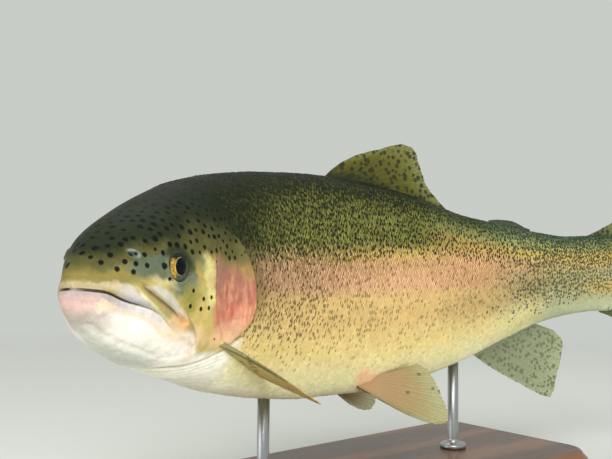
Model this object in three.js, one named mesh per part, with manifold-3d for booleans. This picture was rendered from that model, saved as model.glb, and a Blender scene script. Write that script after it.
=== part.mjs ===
// A rainbow trout at life size, a still museum model on a display stand.
// Millimetres, +Z up: the snout points to -X, the left flank faces -Y, and z = 0 is the underside
// of the stand. The origin is under the middle of the model's box.
//
// The fish is made straight first, in its own frame: s runs back from the snout tip, y to the
// fish's right and z up from its midline. Its solids are cut apart there, and bend() then lays
// every point along the swimming curve.
import * as THREE from 'three';
import { mergeVertices } from 'three/addons/utils/BufferGeometryUtils.js';
import Module from 'manifold-3d';

const wasm = await Module();
wasm.setup();

// ---------------------------------------------------------------- driving dimensions
const LENGTH = 640;              // snout tip to the tips of the tail fin
const BODY_END = 579;            // where the flesh ends inside the tail fin
const CHIN_HEIGHT = 160;         // height of the snout tip above the floor
const MIDDLE = { x: 299.8, y: 72.8 };   // middle of the model's box, from the snout tip
const GAP = 0.4;                 // clearance between neighbouring pieces
const SQUARENESS = 0.85;         // 1 would be an ellipse, less is fuller at the shoulders
const RING = 26;                 // points round the body
const STATIONS = 42;             // rings from snout to tail
const HEAD_END = 112.4;          // where the skull meets the trunk
const TAIL_START = 440;          // where the trunk passes into the tail stem
const PLATE = { maxilla: 2.4, cover: 3.2 };
const EYE = { s: 53.4, y: 28.9, z: 11.6, radius: 9.2, depth: 6.2, turn: 0.2, tilt: 0.12 };
const FIN_RIM = 0.9;             // thickness of a fin at its free edge
const BASE = { length: 400, width: 170, height: 16, corner: 26, edge: 2.5, ahead: 30 };
const ROD = { diameter: 9, front: 212, rear: 398, foot: 22, footHeight: 4 };

// Body profile, in fractions of LENGTH: how far back, crown above and keel below the midline,
// and half the width.
const PROFILE = [
  [0, 0, 0, 0],
  [0.003, 0.0120, 0.0165, 0.0105],
  [0.010, 0.0215, 0.0277, 0.0174],
  [0.022, 0.0335, 0.0384, 0.0255],
  [0.050, 0.0525, 0.0528, 0.0420],
  [0.085, 0.0695, 0.0655, 0.0512],
  [0.130, 0.0880, 0.0802, 0.0604],
  [0.180, 0.1055, 0.0938, 0.0656],
  [0.240, 0.1195, 0.1105, 0.0705],
  [0.310, 0.1295, 0.1245, 0.0725],
  [0.390, 0.1340, 0.1325, 0.0720],
  [0.470, 0.1295, 0.1325, 0.0670],
  [0.550, 0.1155, 0.1235, 0.0585],
  [0.630, 0.0914, 0.1035, 0.0480],
  [0.700, 0.0785, 0.0790, 0.0375],
  [0.760, 0.0675, 0.0610, 0.0290],
  [0.820, 0.0605, 0.0520, 0.0215],
  [0.860, 0.0605, 0.0500, 0.0165],
  [0.905, 0.0640, 0.0535, 0.0075],
];

// The swimming curve: heading of the midline against +X in degrees, at fractions of LENGTH.
const HEADING = [[0, 33.5], [0.08, 33.5], [0.16, 32], [0.30, 11], [0.45, -7.5], [0.65, -16],
  [0.88, -16], [1, -19.5]];
const RISE = { slope: -0.041, curve: 0.050 };   // the midline dips and lifts towards the tail

// ---------------------------------------------------------------- curves
// A smooth curve through the points that never overshoots them.
function throughPoints(xs, ys) {
  const last = xs.length - 1;
  const step = xs.slice(1).map((x, i) => x - xs[i]);
  const slope = step.map((h, i) => (ys[i + 1] - ys[i]) / h);
  const tangent = xs.map((_, i) => {
    if (i === 0) return slope[0];
    if (i === last) return slope[last - 1];
    if (slope[i - 1] * slope[i] <= 0) return 0;
    const before = 2 * step[i] + step[i - 1];
    const after = step[i] + 2 * step[i - 1];
    return (before + after) / (before / slope[i - 1] + after / slope[i]);
  });
  return (x) => {
    let i = 0;
    while (i < last - 1 && x > xs[i + 1]) i += 1;
    const t = Math.min(Math.max((x - xs[i]) / step[i], 0), 1);
    return ys[i] * (1 + 2 * t) * (1 - t) ** 2 + tangent[i] * step[i] * t * (1 - t) ** 2
      + ys[i + 1] * t * t * (3 - 2 * t) + tangent[i + 1] * step[i] * t * t * (t - 1);
  };
}

// The profile runs on the square root of the distance, so that the snout is rounded.
const profileOf = (column) => {
  const curve = throughPoints(PROFILE.map((row) => Math.sqrt(row[0])),
    PROFILE.map((row) => row[column]));
  return (s) => LENGTH * curve(Math.sqrt(Math.max(s, 0) / LENGTH));
};
const crown = profileOf(1);
const keel = profileOf(2);
const half = profileOf(3);

const MIDLINE_STEPS = 1000;
const headingAt = throughPoints(HEADING.map((row) => row[0]),
  HEADING.map((row) => THREE.MathUtils.degToRad(row[1])));
const midline = [{ x: 0, y: 0, heading: headingAt(0) }];
for (let i = 1; i <= MIDLINE_STEPS; i += 1) {
  const before = midline[i - 1];
  const heading = headingAt(i / MIDLINE_STEPS);
  const mean = (before.heading + heading) / 2;
  midline.push({
    x: before.x + Math.cos(mean) * LENGTH / MIDLINE_STEPS,
    y: before.y + Math.sin(mean) * LENGTH / MIDLINE_STEPS,
    heading,
  });
}

// From the straight fish (s, y, z) to the finished model.
function bend(point) {
  const t = point.x / LENGTH;
  const along = Math.min(Math.max(t, 0), 1) * MIDLINE_STEPS;
  const i = Math.min(Math.floor(along), MIDLINE_STEPS - 1);
  const blend = along - i;
  const a = midline[i];
  const b = midline[i + 1];
  const heading = THREE.MathUtils.lerp(a.heading, b.heading, blend);
  const beyond = (t - along / MIDLINE_STEPS) * LENGTH;
  return new THREE.Vector3(
    THREE.MathUtils.lerp(a.x, b.x, blend) + beyond * Math.cos(heading)
      - point.y * Math.sin(heading) - MIDDLE.x,
    THREE.MathUtils.lerp(a.y, b.y, blend) + beyond * Math.sin(heading)
      + point.y * Math.cos(heading) - MIDDLE.y,
    point.z + LENGTH * (RISE.slope * t + RISE.curve * t * t) + CHIN_HEIGHT,
  );
}

// ---------------------------------------------------------------- solids
function solid(geometry) {
  const bare = geometry.clone();
  bare.deleteAttribute('normal');
  bare.deleteAttribute('uv');
  const merged = mergeVertices(bare, 1e-4);
  return new wasm.Manifold(new wasm.Mesh({
    numProp: 3,
    vertProperties: new Float32Array(merged.attributes.position.array),
    triVerts: new Uint32Array(merged.index.array),
  }));
}

function geometryOf(manifold) {
  const { vertProperties, triVerts } = manifold.getMesh();
  const geometry = new THREE.BufferGeometry();
  geometry.setAttribute('position', new THREE.BufferAttribute(new Float32Array(vertProperties), 3));
  geometry.setIndex(new THREE.BufferAttribute(new Uint32Array(triVerts), 1));
  return geometry;
}

function bent(geometry) {
  const result = geometry.clone();
  const position = result.attributes.position;
  for (let i = 0; i < position.count; i += 1) {
    const point = bend(new THREE.Vector3().fromBufferAttribute(position, i));
    position.setXYZ(i, point.x, point.y, point.z);
  }
  return result;
}

function indexed(points, faces) {
  const geometry = new THREE.BufferGeometry();
  geometry.setAttribute('position',
    new THREE.Float32BufferAttribute(points.flatMap((p) => [p.x, p.y, p.z]), 3));
  geometry.setIndex(faces.flat());
  return geometry;
}

// The whole body, swollen by grow or drawn in where grow is negative.
function bodyLoft(grow) {
  const points = [new THREE.Vector3(-grow, 0, 0)];
  for (let i = 1; i <= STATIONS; i += 1) {
    const s = BODY_END * (i / STATIONS) ** 1.5;
    const shrink = Math.max(grow, -0.8 * half(s));
    for (let k = 0; k < RING; k += 1) {
      const turn = 2 * Math.PI * k / RING;
      const up = Math.cos(turn);
      const side = Math.sin(turn);
      const height = up > 0 ? crown(s) + shrink : keel(s) + shrink;
      const reach = i === STATIONS ? s + grow : Math.max(s, -2 * grow);
      points.push(new THREE.Vector3(reach,
        (half(s) + shrink) * Math.sign(side) * Math.abs(side) ** SQUARENESS,
        height * Math.sign(up) * Math.abs(up) ** SQUARENESS));
    }
  }
  const rings = grow < 0 ? skipCrowded(points) : points;
  return ringsToGeometry(rings);
}

// Keeps one of the rings that were pushed onto the same station.
function skipCrowded(points) {
  const kept = [points[0]];
  let reached = points[0].x;
  for (let i = 1; i < points.length; i += RING) {
    if (points[i].x > reached + 0.5) {
      kept.push(...points.slice(i, i + RING));
      reached = points[i].x;
    }
  }
  return kept;
}

// A tip, rings of RING points and a flat end.
function ringsToGeometry(points) {
  const rings = (points.length - 1) / RING;
  const at = (ring, k) => 1 + ring * RING + (k % RING);
  const faces = [];
  for (let k = 0; k < RING; k += 1) {
    faces.push([0, at(0, k), at(0, k + 1)]);
    for (let ring = 0; ring < rings - 1; ring += 1) {
      faces.push([at(ring, k), at(ring + 1, k), at(ring + 1, k + 1)]);
      faces.push([at(ring, k), at(ring + 1, k + 1), at(ring, k + 1)]);
    }
  }
  const end = points.length;
  const centre = new THREE.Vector3(points[end - 1].x, 0, 0);
  for (let k = 0; k < RING; k += 1) faces.push([end, at(rings - 1, k + 1), at(rings - 1, k)]);
  return indexed([...points, centre], faces);
}

// An outline in the side view (s, z), pushed through from y = from to y = to.
function sideCut(outline, from = -90, to = 90) {
  const shape = new THREE.Shape(outline.map(([s, z]) => new THREE.Vector2(s, z)));
  const geometry = new THREE.ExtrudeGeometry(shape, { depth: to - from, bevelEnabled: false });
  geometry.rotateX(Math.PI / 2);
  geometry.translate(0, to, 0);
  return solid(geometry);
}

// A line moved sideways, to its left where distance is above 0.
function shifted(line, distance, closed = false) {
  const count = line.length;
  const at = (i) => new THREE.Vector2(...line[(i + count) % count]);
  return line.map((point, i) => {
    const before = closed || i > 0 ? at(i).sub(at(i - 1)).normalize() : null;
    const after = closed || i < count - 1 ? at(i + 1).sub(at(i)).normalize() : before;
    const ahead = (before ?? after).clone().add(after).normalize();
    const reach = distance / Math.max(ahead.dot(after), 0.5);
    return [point[0] - ahead.y * reach, point[1] + ahead.x * reach];
  });
}

const smooth = (points, steps) => new THREE.SplineCurve(points.map((p) => new THREE.Vector2(...p)))
  .getPoints(steps).map((p) => [p.x, p.y]);
const mirrored = (geometry) => {
  const copy = geometry.clone().scale(1, -1, 1);
  const index = copy.index.array;
  for (let i = 0; i < index.length; i += 3) [index[i], index[i + 1]] = [index[i + 1], index[i]];
  return copy;
};

// ---------------------------------------------------------------- outlines of the head, (s, z)
const MOUTH_LINE = [[-6, -1.2], [2.5, -2], [10.6, -3.2], [19, -7.3], [30, -10.6], [39.8, -14.4],
  [57, -25.6], [74.5, -34]];
const JAW_REAR = [[74.5, -34], [73.5, -38.5], [64, -47.6], [60, -62]];
const GULAR_LINE = [[60, -62], [64.4, -47.4], [84.7, -45.1], [98.4, -41.4], [HEAD_END, -35.2]];
const MEMBRANE_TOP = [[74.5, -34], [86, -30.4], [96, -29], [104, -32.5], [HEAD_END, -35.2]];
const NECK_LINE = [[HEAD_END, -35.2], [HEAD_END, 34], [117, 100]];
const MAXILLA = [
  ...smooth([[12, -2.9], [19, -6.8], [30, -10.1], [39.8, -13.9], [57, -25], [66, -29.6]], 7),
  [74.8, -33.4],
  ...smooth([[77.5, -31.5], [70, -21.5], [60, -14.2], [47.6, -9.8], [36, -4], [27, 0.6],
    [18.5, 1.8], [12, 1.6]], 9),
];
const COVER = [
  ...smooth([[HEAD_END, -34.6], [120, -30.8], [128, -27], [135, -21.6], [138.9, -14],
    [139.2, -5.5], [136.6, 6.5], [131.6, 16.8], [125.7, 23.6], [120, 29.9], [HEAD_END, 34.4]], 14),
  ...smooth([[104, 36], [95, 31], [90, 18], [88.6, 2], [90.5, -13], [96, -24], [103, -31.4]], 8),
];

const body = solid(bodyLoft(0));
const cleared = solid(bodyLoft(GAP));
const HALF_GAP = GAP / 2;
const FAR = { front: -40, back: LENGTH + 60, up: 100, down: -120 };

// The two sides of each parting line, half a gap back from it.
const neckLine = (distance) => shifted([...GULAR_LINE, ...NECK_LINE.slice(1)], distance);
const headPlan = [...neckLine(HALF_GAP), [FAR.front, FAR.up], [FAR.front, GULAR_LINE[0][1]]];
const trunkPlan = [...neckLine(-HALF_GAP), [TAIL_START - HALF_GAP, FAR.up],
  [TAIL_START - HALF_GAP, FAR.down], [GULAR_LINE[0][0], FAR.down]];
const tailPlan = [[TAIL_START + HALF_GAP, FAR.down], [FAR.back, FAR.down], [FAR.back, FAR.up],
  [TAIL_START + HALF_GAP, FAR.up]];
const jawPlan = (distance) => [...shifted([...MOUTH_LINE, ...JAW_REAR.slice(1)], distance),
  [FAR.front, JAW_REAR.at(-1)[1]], [FAR.front, MOUTH_LINE[0][1] + distance]];
const throatPlan = (distance) => [...shifted(MEMBRANE_TOP, distance),
  [FAR.back, GULAR_LINE.at(-1)[1]], [FAR.back, FAR.down], [MEMBRANE_TOP[0][0], FAR.down]];

function plate(outline, depth, reach) {
  const hollow = solid(bodyLoft(-depth));
  return body.subtract(hollow).intersect(sideCut(outline, ...reach));
}

// The room that a plate takes from what lies round and under it, with its clearance.
function plateRoom(outline, depth, reach) {
  return sideCut(shifted(outline, -GAP, true), ...reach).subtract(solid(bodyLoft(-depth - GAP)));
}
const LEFT = [-90, -6];
const RIGHT = [6, 90];

// ---------------------------------------------------------------- eyes
function eyeball(side, grow) {
  const globe = new THREE.SphereGeometry(1, 14, 9);
  globe.rotateX(Math.PI / 2);
  globe.scale(EYE.radius + grow, EYE.depth + grow, EYE.radius + grow);
  globe.rotateX(-EYE.tilt);
  globe.rotateZ(-EYE.turn);
  globe.translate(EYE.s, -EYE.y, EYE.z);
  const merged = geometryOf(solid(globe));
  return side === 'left' ? merged : mirrored(merged);
}

// ---------------------------------------------------------------- fins
// A fin is a fan of rays from its root to its margin: a thin blade, thickest at the root.
function fin({ root, margin, thickness, rays = 14, rows = 4, bow = 0 }) {
  const rootLine = new THREE.CatmullRomCurve3(root);
  const marginLine = new THREE.CatmullRomCurve3(margin);
  const at = (u, v) => {
    const from = rootLine.getPoint(v);
    const to = marginLine.getPoint(v);
    return from.lerp(to, u).add(new THREE.Vector3(0, bow * 4 * u * (1 - u), 0));
  };
  const sheets = [[], []];
  const nudge = 0.02;
  for (let j = 0; j <= rays; j += 1) {
    for (let i = 0; i <= rows; i += 1) {
      const u = i / rows;
      const v = j / rays;
      const along = at(Math.min(u + nudge, 1), v).sub(at(Math.max(u - nudge, 0), v));
      const across = at(u, Math.min(v + nudge, 1)).sub(at(u, Math.max(v - nudge, 0)));
      const normal = along.cross(across).normalize();
      const depth = THREE.MathUtils.lerp(thickness, FIN_RIM, u ** 0.7) / 2;
      sheets[0].push(at(u, v).addScaledVector(normal, depth));
      sheets[1].push(at(u, v).addScaledVector(normal, -depth));
    }
  }
  const width = rows + 1;
  const count = sheets[0].length;
  const faces = [];
  const quad = (a, b, c, d) => faces.push([a, b, c], [a, c, d]);
  for (let j = 0; j < rays; j += 1) {
    for (let i = 0; i < rows; i += 1) {
      const a = j * width + i;
      quad(a, a + 1, a + width + 1, a + width);
      quad(count + a, count + a + width, count + a + width + 1, count + a + 1);
    }
  }
  const rim = [];
  for (let i = 0; i < rows; i += 1) rim.push(i);
  for (let j = 0; j < rays; j += 1) rim.push(j * width + rows);
  for (let i = rows; i > 0; i -= 1) rim.push(rays * width + i);
  for (let j = rays; j > 0; j -= 1) rim.push(j * width);
  rim.forEach((a, k) => {
    const b = rim[(k + 1) % rim.length];
    quad(a, count + a, count + b, b);
  });
  const points = [...sheets[0], ...sheets[1]];
  const made = solid(indexed(points, faces));
  return made.volume() > 0 ? made : solid(indexed(points, faces.map(([a, b, c]) => [a, c, b])));
}

const onMidline = (points) => points.map(([s, z]) => new THREE.Vector3(s, 0, z));
const SUNK = 3;                  // how deep a fin's root would reach into the body

function backLine(from, to, steps, surface) {
  return Array.from({ length: steps + 1 }, (_, i) => {
    const s = THREE.MathUtils.lerp(from, to, i / steps);
    return new THREE.Vector3(s, 0, surface(s));
  });
}

const dorsalFin = () => fin({
  root: backLine(269, 357, 6, (s) => crown(s) - SUNK),
  margin: onMidline([[268, 84], [280, 94], [300, 104.5], [323, 111.5], [347, 117], [359, 112],
    [364, 99], [371, 83], [382, 71], [394, 60.8]]),
  thickness: 5,
  rays: 16,
});

const adiposeFin = () => fin({
  root: backLine(440, 468, 4, (s) => crown(s) - SUNK),
  margin: onMidline([[435, 54], [442, 54.6], [450, 54.4], [457, 53.8], [463, 52.6], [469, 50.2],
    [475, 47.4], [481, 45.2], [479, 42.8], [472, 43]]),
  thickness: 5.5,
  rays: 8,
  rows: 3,
});

const analFin = () => fin({
  root: backLine(421, 480, 6, (s) => SUNK - keel(s)),
  margin: onMidline([[419, -63], [434, -73], [452, -83], [472, -93.5], [491, -103.5], [504, -106.5],
    [510, -92], [515.5, -74], [518, -58], [508, -47]]),
  thickness: 4.5,
});

const tailFin = () => fin({
  root: onMidline([[571, 33.5], [574, 18], [575, 0], [574, -17], [571, -31]]),
  margin: onMidline([[547, 38.5], [562, 43.4], [582, 51], [608, 60.5], [634, 67], [639.5, 62],
    [634, 42], [627.5, 20], [625.5, 2], [628, -17], [634, -39], [639.5, -60], [634, -65.5],
    [614, -58], [594, -47.5], [576, -38.5], [562, -33.5]]),
  thickness: 9,
  rays: 20,
});

// A paired fin is drawn flat: how far along its leading edge, and how far across from it.
function pairedFin({ origin, along, across, root, margin, thickness, bow }) {
  const a = new THREE.Vector3(...along).normalize();
  const c = new THREE.Vector3(...across);
  c.addScaledVector(a, -c.dot(a)).normalize();
  const lay = (points) => points.map(([p, q]) => new THREE.Vector3(...origin)
    .addScaledVector(a, p).addScaledVector(c, q));
  return fin({ root: lay(root), margin: lay(margin), thickness, bow, rays: 12 });
}

const PECTORAL = {
  root: [[-2, 0], [0, 5], [3, 12]],
  margin: [[30, -2.5], [66, -2.5], [97, 0], [106, 4], [104, 10], [95, 18], [80, 25], [62, 28],
    [44, 24]],
  thickness: 4.2,
};
const PELVIC = {
  root: [[-2, 0], [5, 6], [11, 13]],
  margin: [[26, -3], [48, -4], [70, -1], [76, 3], [75, 10], [67, 19.5], [58, 28], [50, 34],
    [39, 36]],
  thickness: 4,
};
const PAIRED = {
  pectoral_fin_left: { ...PECTORAL, origin: [105, -35.5, -34], along: [88, -34, -41],
    across: [0.37, 0.93, 0.02], bow: -2 },
  pectoral_fin_right: { ...PECTORAL, origin: [105, 35.5, -34], along: [88, 34, -41],
    across: [0.37, -0.93, 0.02], bow: 2 },
  pelvic_fin_left: { ...PELVIC, origin: [285, -22, -76], along: [54, -45, -28],
    across: [0.52, 0.10, 0.85], bow: -2 },
  pelvic_fin_right: { ...PELVIC, origin: [285, 22, -76], along: [61, 27, -38],
    across: [0.52, -0.10, 0.85], bow: 2 },
};

// ---------------------------------------------------------------- display stand
function stand() {
  const { length, width, height, corner, edge, ahead } = BASE;
  const board = new THREE.Shape();
  const x = length / 2 - edge;
  const y = width / 2 - edge;
  const r = corner - edge;
  board.moveTo(-x + r, -y);
  board.lineTo(x - r, -y);
  board.absarc(x - r, -y + r, r, -Math.PI / 2, 0);
  board.lineTo(x, y - r);
  board.absarc(x - r, y - r, r, 0, Math.PI / 2);
  board.lineTo(-x + r, y);
  board.absarc(-x + r, y - r, r, Math.PI / 2, Math.PI);
  board.lineTo(-x, -y + r);
  board.absarc(-x + r, -y + r, r, Math.PI, 1.5 * Math.PI);
  const base = new THREE.ExtrudeGeometry(board, { depth: height - 2 * edge, bevelThickness: edge,
    bevelSize: edge, bevelSegments: 1, curveSegments: 5 });
  base.translate(-ahead, 0, edge);
  const pieces = { stand_base: geometryOf(solid(base)) };

  const fishClearance = solid(bent(bodyLoft(GAP)));
  const rodRadius = ROD.diameter / 2;
  const footRadius = ROD.foot / 2;
  for (const [name, s] of [['stand_rod_front', ROD.front], ['stand_rod_rear', ROD.rear]]) {
    const top = bend(new THREE.Vector3(s, 0, 0));
    const floor = height + 0.3;
    const foot = floor + ROD.footHeight;
    const turned = new THREE.LatheGeometry([[0, floor], [footRadius, floor],
      [footRadius, foot - 1.2], [footRadius - 1.2, foot], [rodRadius + 1, foot],
      [rodRadius, foot + 1], [rodRadius, top.z], [0, top.z],
    ].map(([radius, up]) => new THREE.Vector2(radius, up)), 16);
    turned.rotateX(Math.PI / 2);
    turned.translate(top.x, top.y, 0);
    pieces[name] = geometryOf(solid(turned).subtract(fishClearance));
  }
  return pieces;
}

// ---------------------------------------------------------------- the fish's own pieces
function fishPieces() {
  const sides = { left: LEFT, right: RIGHT };
  const rooms = Object.values(sides).flatMap((reach) => [
    plateRoom(MAXILLA, PLATE.maxilla, reach),
    plateRoom(COVER, PLATE.cover, reach),
  ]);
  const without = (shape, ...cuts) => [...cuts, ...rooms]
    .reduce((rest, cut) => rest.subtract(cut), shape);
  const sockets = Object.keys(sides).map((side) => solid(eyeball(side, GAP)));
  const headBlock = body.intersect(sideCut(headPlan));
  const jawRoom = sideCut(jawPlan(HALF_GAP));

  const pieces = {
    head: without(headBlock, jawRoom, sideCut(throatPlan(HALF_GAP)), ...sockets),
    lower_jaw: without(headBlock.intersect(sideCut(jawPlan(-HALF_GAP)))),
    throat: without(headBlock.intersect(sideCut(throatPlan(-HALF_GAP))), jawRoom),
  };
  for (const [side, reach] of Object.entries(sides)) {
    pieces[`upper_jaw_${side}`] = plate(MAXILLA, PLATE.maxilla, reach);
    pieces[`gill_cover_${side}`] = plate(COVER, PLATE.cover, reach);
    pieces[`eye_${side}`] = solid(eyeball(side, 0));
  }
  pieces.trunk = without(body.intersect(sideCut(trunkPlan)));
  pieces.tail_stem = body.intersect(sideCut(tailPlan));
  pieces.dorsal_fin = dorsalFin().subtract(cleared);
  pieces.adipose_fin = adiposeFin().subtract(cleared);
  pieces.anal_fin = analFin().subtract(cleared);
  pieces.tail_fin = tailFin().subtract(cleared);
  for (const [name, shape] of Object.entries(PAIRED)) {
    pieces[name] = pairedFin(shape).subtract(cleared);
  }
  return pieces;
}

// A cut can leave a sliver beside the piece: the piece is the largest part.
function largest(manifold) {
  const parts = manifold.decompose();
  return parts.reduce((a, b) => (b.volume() > a.volume() ? b : a));
}

// ---------------------------------------------------------------- colours
const finish = (color, roughness, metalness = 0) => ({ color, roughness, metalness });
const FINISH = {
  head: finish(0x5d6134, 0.38),
  lower_jaw: finish(0xe6ddd0, 0.4),
  throat: finish(0xece5cf, 0.42),
  upper_jaw_left: finish(0xd9cfc4, 0.38),
  upper_jaw_right: finish(0xd9cfc4, 0.38),
  gill_cover_left: finish(0xc08660, 0.36),
  gill_cover_right: finish(0xc08660, 0.36),
  eye_left: finish(0x2a2416, 0.08),
  eye_right: finish(0x2a2416, 0.08),
  trunk: finish(0x9c9355, 0.42),
  tail_stem: finish(0x8d8a4d, 0.42),
  dorsal_fin: finish(0x63632f, 0.5),
  adipose_fin: finish(0x4a4f2c, 0.5),
  anal_fin: finish(0x7c8458, 0.5),
  tail_fin: finish(0x6e6f3e, 0.5),
  pectoral_fin_left: finish(0xb58f45, 0.5),
  pectoral_fin_right: finish(0xb58f45, 0.5),
  pelvic_fin_left: finish(0xa88f6a, 0.5),
  pelvic_fin_right: finish(0xa88f6a, 0.5),
  stand_base: finish(0x4a3423, 0.45),
  stand_rod_front: finish(0xa9adb0, 0.28, 1),
  stand_rod_rear: finish(0xa9adb0, 0.28, 1),
};

function named(name, geometry) {
  const look = FINISH[name];
  geometry.computeVertexNormals();
  const mesh = new THREE.Mesh(geometry, new THREE.MeshStandardMaterial(look));
  mesh.name = name;
  return mesh;
}

const trout = new THREE.Group();
for (const [name, shape] of Object.entries(fishPieces())) {
  trout.add(named(name, bent(geometryOf(largest(shape)))));
}
for (const [name, geometry] of Object.entries(stand())) trout.add(named(name, geometry));

export default trout;
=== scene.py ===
"""The looks of a life-size rainbow trout on its display stand.

The fish is worked out straight first, in millimetres: s runs back from the snout tip, y to the
fish's right and z up from its midline. bend() then lays every point along the swimming curve, in
the row's frame and in metres.
"""
import math

import bmesh
import bpy
import numpy as np
from mathutils import Matrix, Vector


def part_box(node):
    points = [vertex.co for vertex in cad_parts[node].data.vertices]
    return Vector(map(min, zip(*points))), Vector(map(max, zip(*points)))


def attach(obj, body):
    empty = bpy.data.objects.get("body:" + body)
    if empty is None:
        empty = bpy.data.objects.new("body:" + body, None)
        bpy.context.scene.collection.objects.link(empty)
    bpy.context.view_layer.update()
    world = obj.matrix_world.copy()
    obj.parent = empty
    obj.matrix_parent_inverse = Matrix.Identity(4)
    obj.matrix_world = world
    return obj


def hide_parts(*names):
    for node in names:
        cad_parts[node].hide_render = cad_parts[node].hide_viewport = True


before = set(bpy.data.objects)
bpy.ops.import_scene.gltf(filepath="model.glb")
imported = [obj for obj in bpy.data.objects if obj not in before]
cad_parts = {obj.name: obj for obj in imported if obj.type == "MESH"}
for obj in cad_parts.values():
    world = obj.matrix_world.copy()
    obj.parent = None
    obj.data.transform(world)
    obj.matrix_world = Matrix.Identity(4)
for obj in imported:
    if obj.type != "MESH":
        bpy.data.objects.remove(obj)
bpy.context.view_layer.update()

# ------------------------------------------------------------------ driving sizes, millimetres
MM = 0.001
LENGTH = 640                     # round the bend, from the snout to the tail fin's tips
BODY_END = 579                   # where the flesh starts to close, inside the tail fin
CLOSING = 12                     # how long it takes to close
CHIN_HEIGHT = 160                # the snout tip over the floor
MIDDLE = (299.8, 72.8)           # the middle of the model's box, from the snout tip
SQUARENESS = 0.85                # 1 is an ellipse, less is fuller at the shoulders
HEAD_END = 112.4
SKIN_DEPTH = 0.6                 # how far the skin lies inside the solids, the scales' depth
PROFILE = np.array([
    [0, 0, 0, 0],
    [0.003, 0.0120, 0.0165, 0.0105],
    [0.010, 0.0215, 0.0277, 0.0174],
    [0.022, 0.0335, 0.0384, 0.0255],
    [0.050, 0.0525, 0.0528, 0.0420],
    [0.085, 0.0695, 0.0655, 0.0512],
    [0.130, 0.0880, 0.0802, 0.0604],
    [0.180, 0.1055, 0.0938, 0.0656],
    [0.240, 0.1195, 0.1105, 0.0705],
    [0.310, 0.1295, 0.1245, 0.0725],
    [0.390, 0.1340, 0.1325, 0.0720],
    [0.470, 0.1295, 0.1325, 0.0670],
    [0.550, 0.1155, 0.1235, 0.0585],
    [0.630, 0.0914, 0.1035, 0.0480],
    [0.700, 0.0785, 0.0790, 0.0375],
    [0.760, 0.0675, 0.0610, 0.0290],
    [0.820, 0.0605, 0.0520, 0.0215],
    [0.860, 0.0605, 0.0500, 0.0165],
    [0.905, 0.0640, 0.0535, 0.0075],
])                               # fractions of LENGTH: station, crown, keel, half width
HEADING = np.array([[0, 33.5], [0.08, 33.5], [0.16, 32], [0.30, 11], [0.45, -7.5], [0.65, -16],
                    [0.88, -16], [1, -19.5]])   # degrees that the midline turns, seen from above
RISE = (-0.041, 0.050)           # the midline dips and lifts towards the tail: slope and curve
SIDES = {"left": -1, "right": 1}


# ------------------------------------------------------------------ curves
def smooth_curve(xs, ys):
    """A smooth curve through the points that never overshoots them."""
    step = np.diff(xs)
    slope = np.diff(ys) / step
    before = 2 * step[1:] + step[:-1]
    after = step[1:] + 2 * step[:-1]
    climbing = slope[:-1] * slope[1:] > 0
    steepness = np.where(climbing, before / np.where(climbing, slope[:-1], 1)
                         + after / np.where(climbing, slope[1:], 1), 1)
    inner = np.where(climbing, (before + after) / steepness, 0)
    tangent = np.concatenate(([slope[0]], inner, [slope[-1]]))

    def at(x):
        x = np.asarray(x, float)
        i = np.clip(np.searchsorted(xs, x, side="right") - 1, 0, len(xs) - 2)
        t = np.clip((x - xs[i]) / step[i], 0, 1)
        return (ys[i] * (1 + 2 * t) * (1 - t) ** 2 + tangent[i] * step[i] * t * (1 - t) ** 2
                + ys[i + 1] * t * t * (3 - 2 * t) + tangent[i + 1] * step[i] * t * t * (t - 1))
    return at


def profile_of(column):
    """One column of PROFILE as a curve over s, round at the snout."""
    curve = smooth_curve(np.sqrt(PROFILE[:, 0]), PROFILE[:, column])
    return lambda s: LENGTH * curve(np.sqrt(np.maximum(s, 0) / LENGTH))


crown = profile_of(1)
keel = profile_of(2)
half = profile_of(3)

MIDLINE_STEPS = 1000
MIDLINE_PIECE = LENGTH / MIDLINE_STEPS
mid_t = np.linspace(0, 1, MIDLINE_STEPS + 1)
mid_heading = smooth_curve(HEADING[:, 0], np.radians(HEADING[:, 1]))(mid_t)
mean_heading = (mid_heading[1:] + mid_heading[:-1]) / 2
mid_x = np.concatenate(([0], np.cumsum(np.cos(mean_heading)))) * MIDLINE_PIECE
mid_y = np.concatenate(([0], np.cumsum(np.sin(mean_heading)))) * MIDLINE_PIECE


def bend(points):
    """From the straight fish, in millimetres, to the finished model, in metres."""
    s, y, z = np.moveaxis(np.asarray(points, float), -1, 0)
    t = s / LENGTH
    on_line = np.clip(t, 0, 1)
    heading = np.interp(on_line, mid_t, mid_heading)
    beyond = (t - on_line) * LENGTH
    ahead, aside = np.cos(heading), np.sin(heading)
    return MM * np.stack([
        np.interp(on_line, mid_t, mid_x) + beyond * ahead - y * aside - MIDDLE[0],
        np.interp(on_line, mid_t, mid_y) + beyond * aside + y * ahead - MIDDLE[1],
        z + LENGTH * (RISE[0] * t + RISE[1] * t * t) + CHIN_HEIGHT,
    ], -1)


def through(points, t):
    """A rounded line through points, at t from 0 to 1: each stretch takes an equal share of t."""
    points = np.asarray(points, float)
    ends = np.array([2 * points[0] - points[1], *points, 2 * points[-1] - points[-2]])
    place = np.clip(np.asarray(t, float), 0, 1) * (len(points) - 1)
    i = np.minimum(place.astype(int), len(points) - 2)
    w = (place - i)[..., None]
    a, b, c, d = (ends[i + k] for k in range(4))
    gap = [np.linalg.norm(q - p, axis=-1, keepdims=True) ** 0.5
           for p, q in ((a, b), (b, c), (c, d))]
    leave = gap[1] * ((b - a) / gap[0] - (c - a) / (gap[0] + gap[1]) + (c - b) / gap[1])
    reach = gap[1] * ((c - b) / gap[1] - (d - b) / (gap[1] + gap[2]) + (d - c) / gap[2])
    return (b + leave * w + (3 * (c - b) - 2 * leave - reach) * w ** 2
            + (2 * (b - c) + leave + reach) * w ** 3)


def rounded(points, steps=24):
    """The same line as a row of points."""
    return through(points, np.linspace(0, 1, steps + 1))


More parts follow.
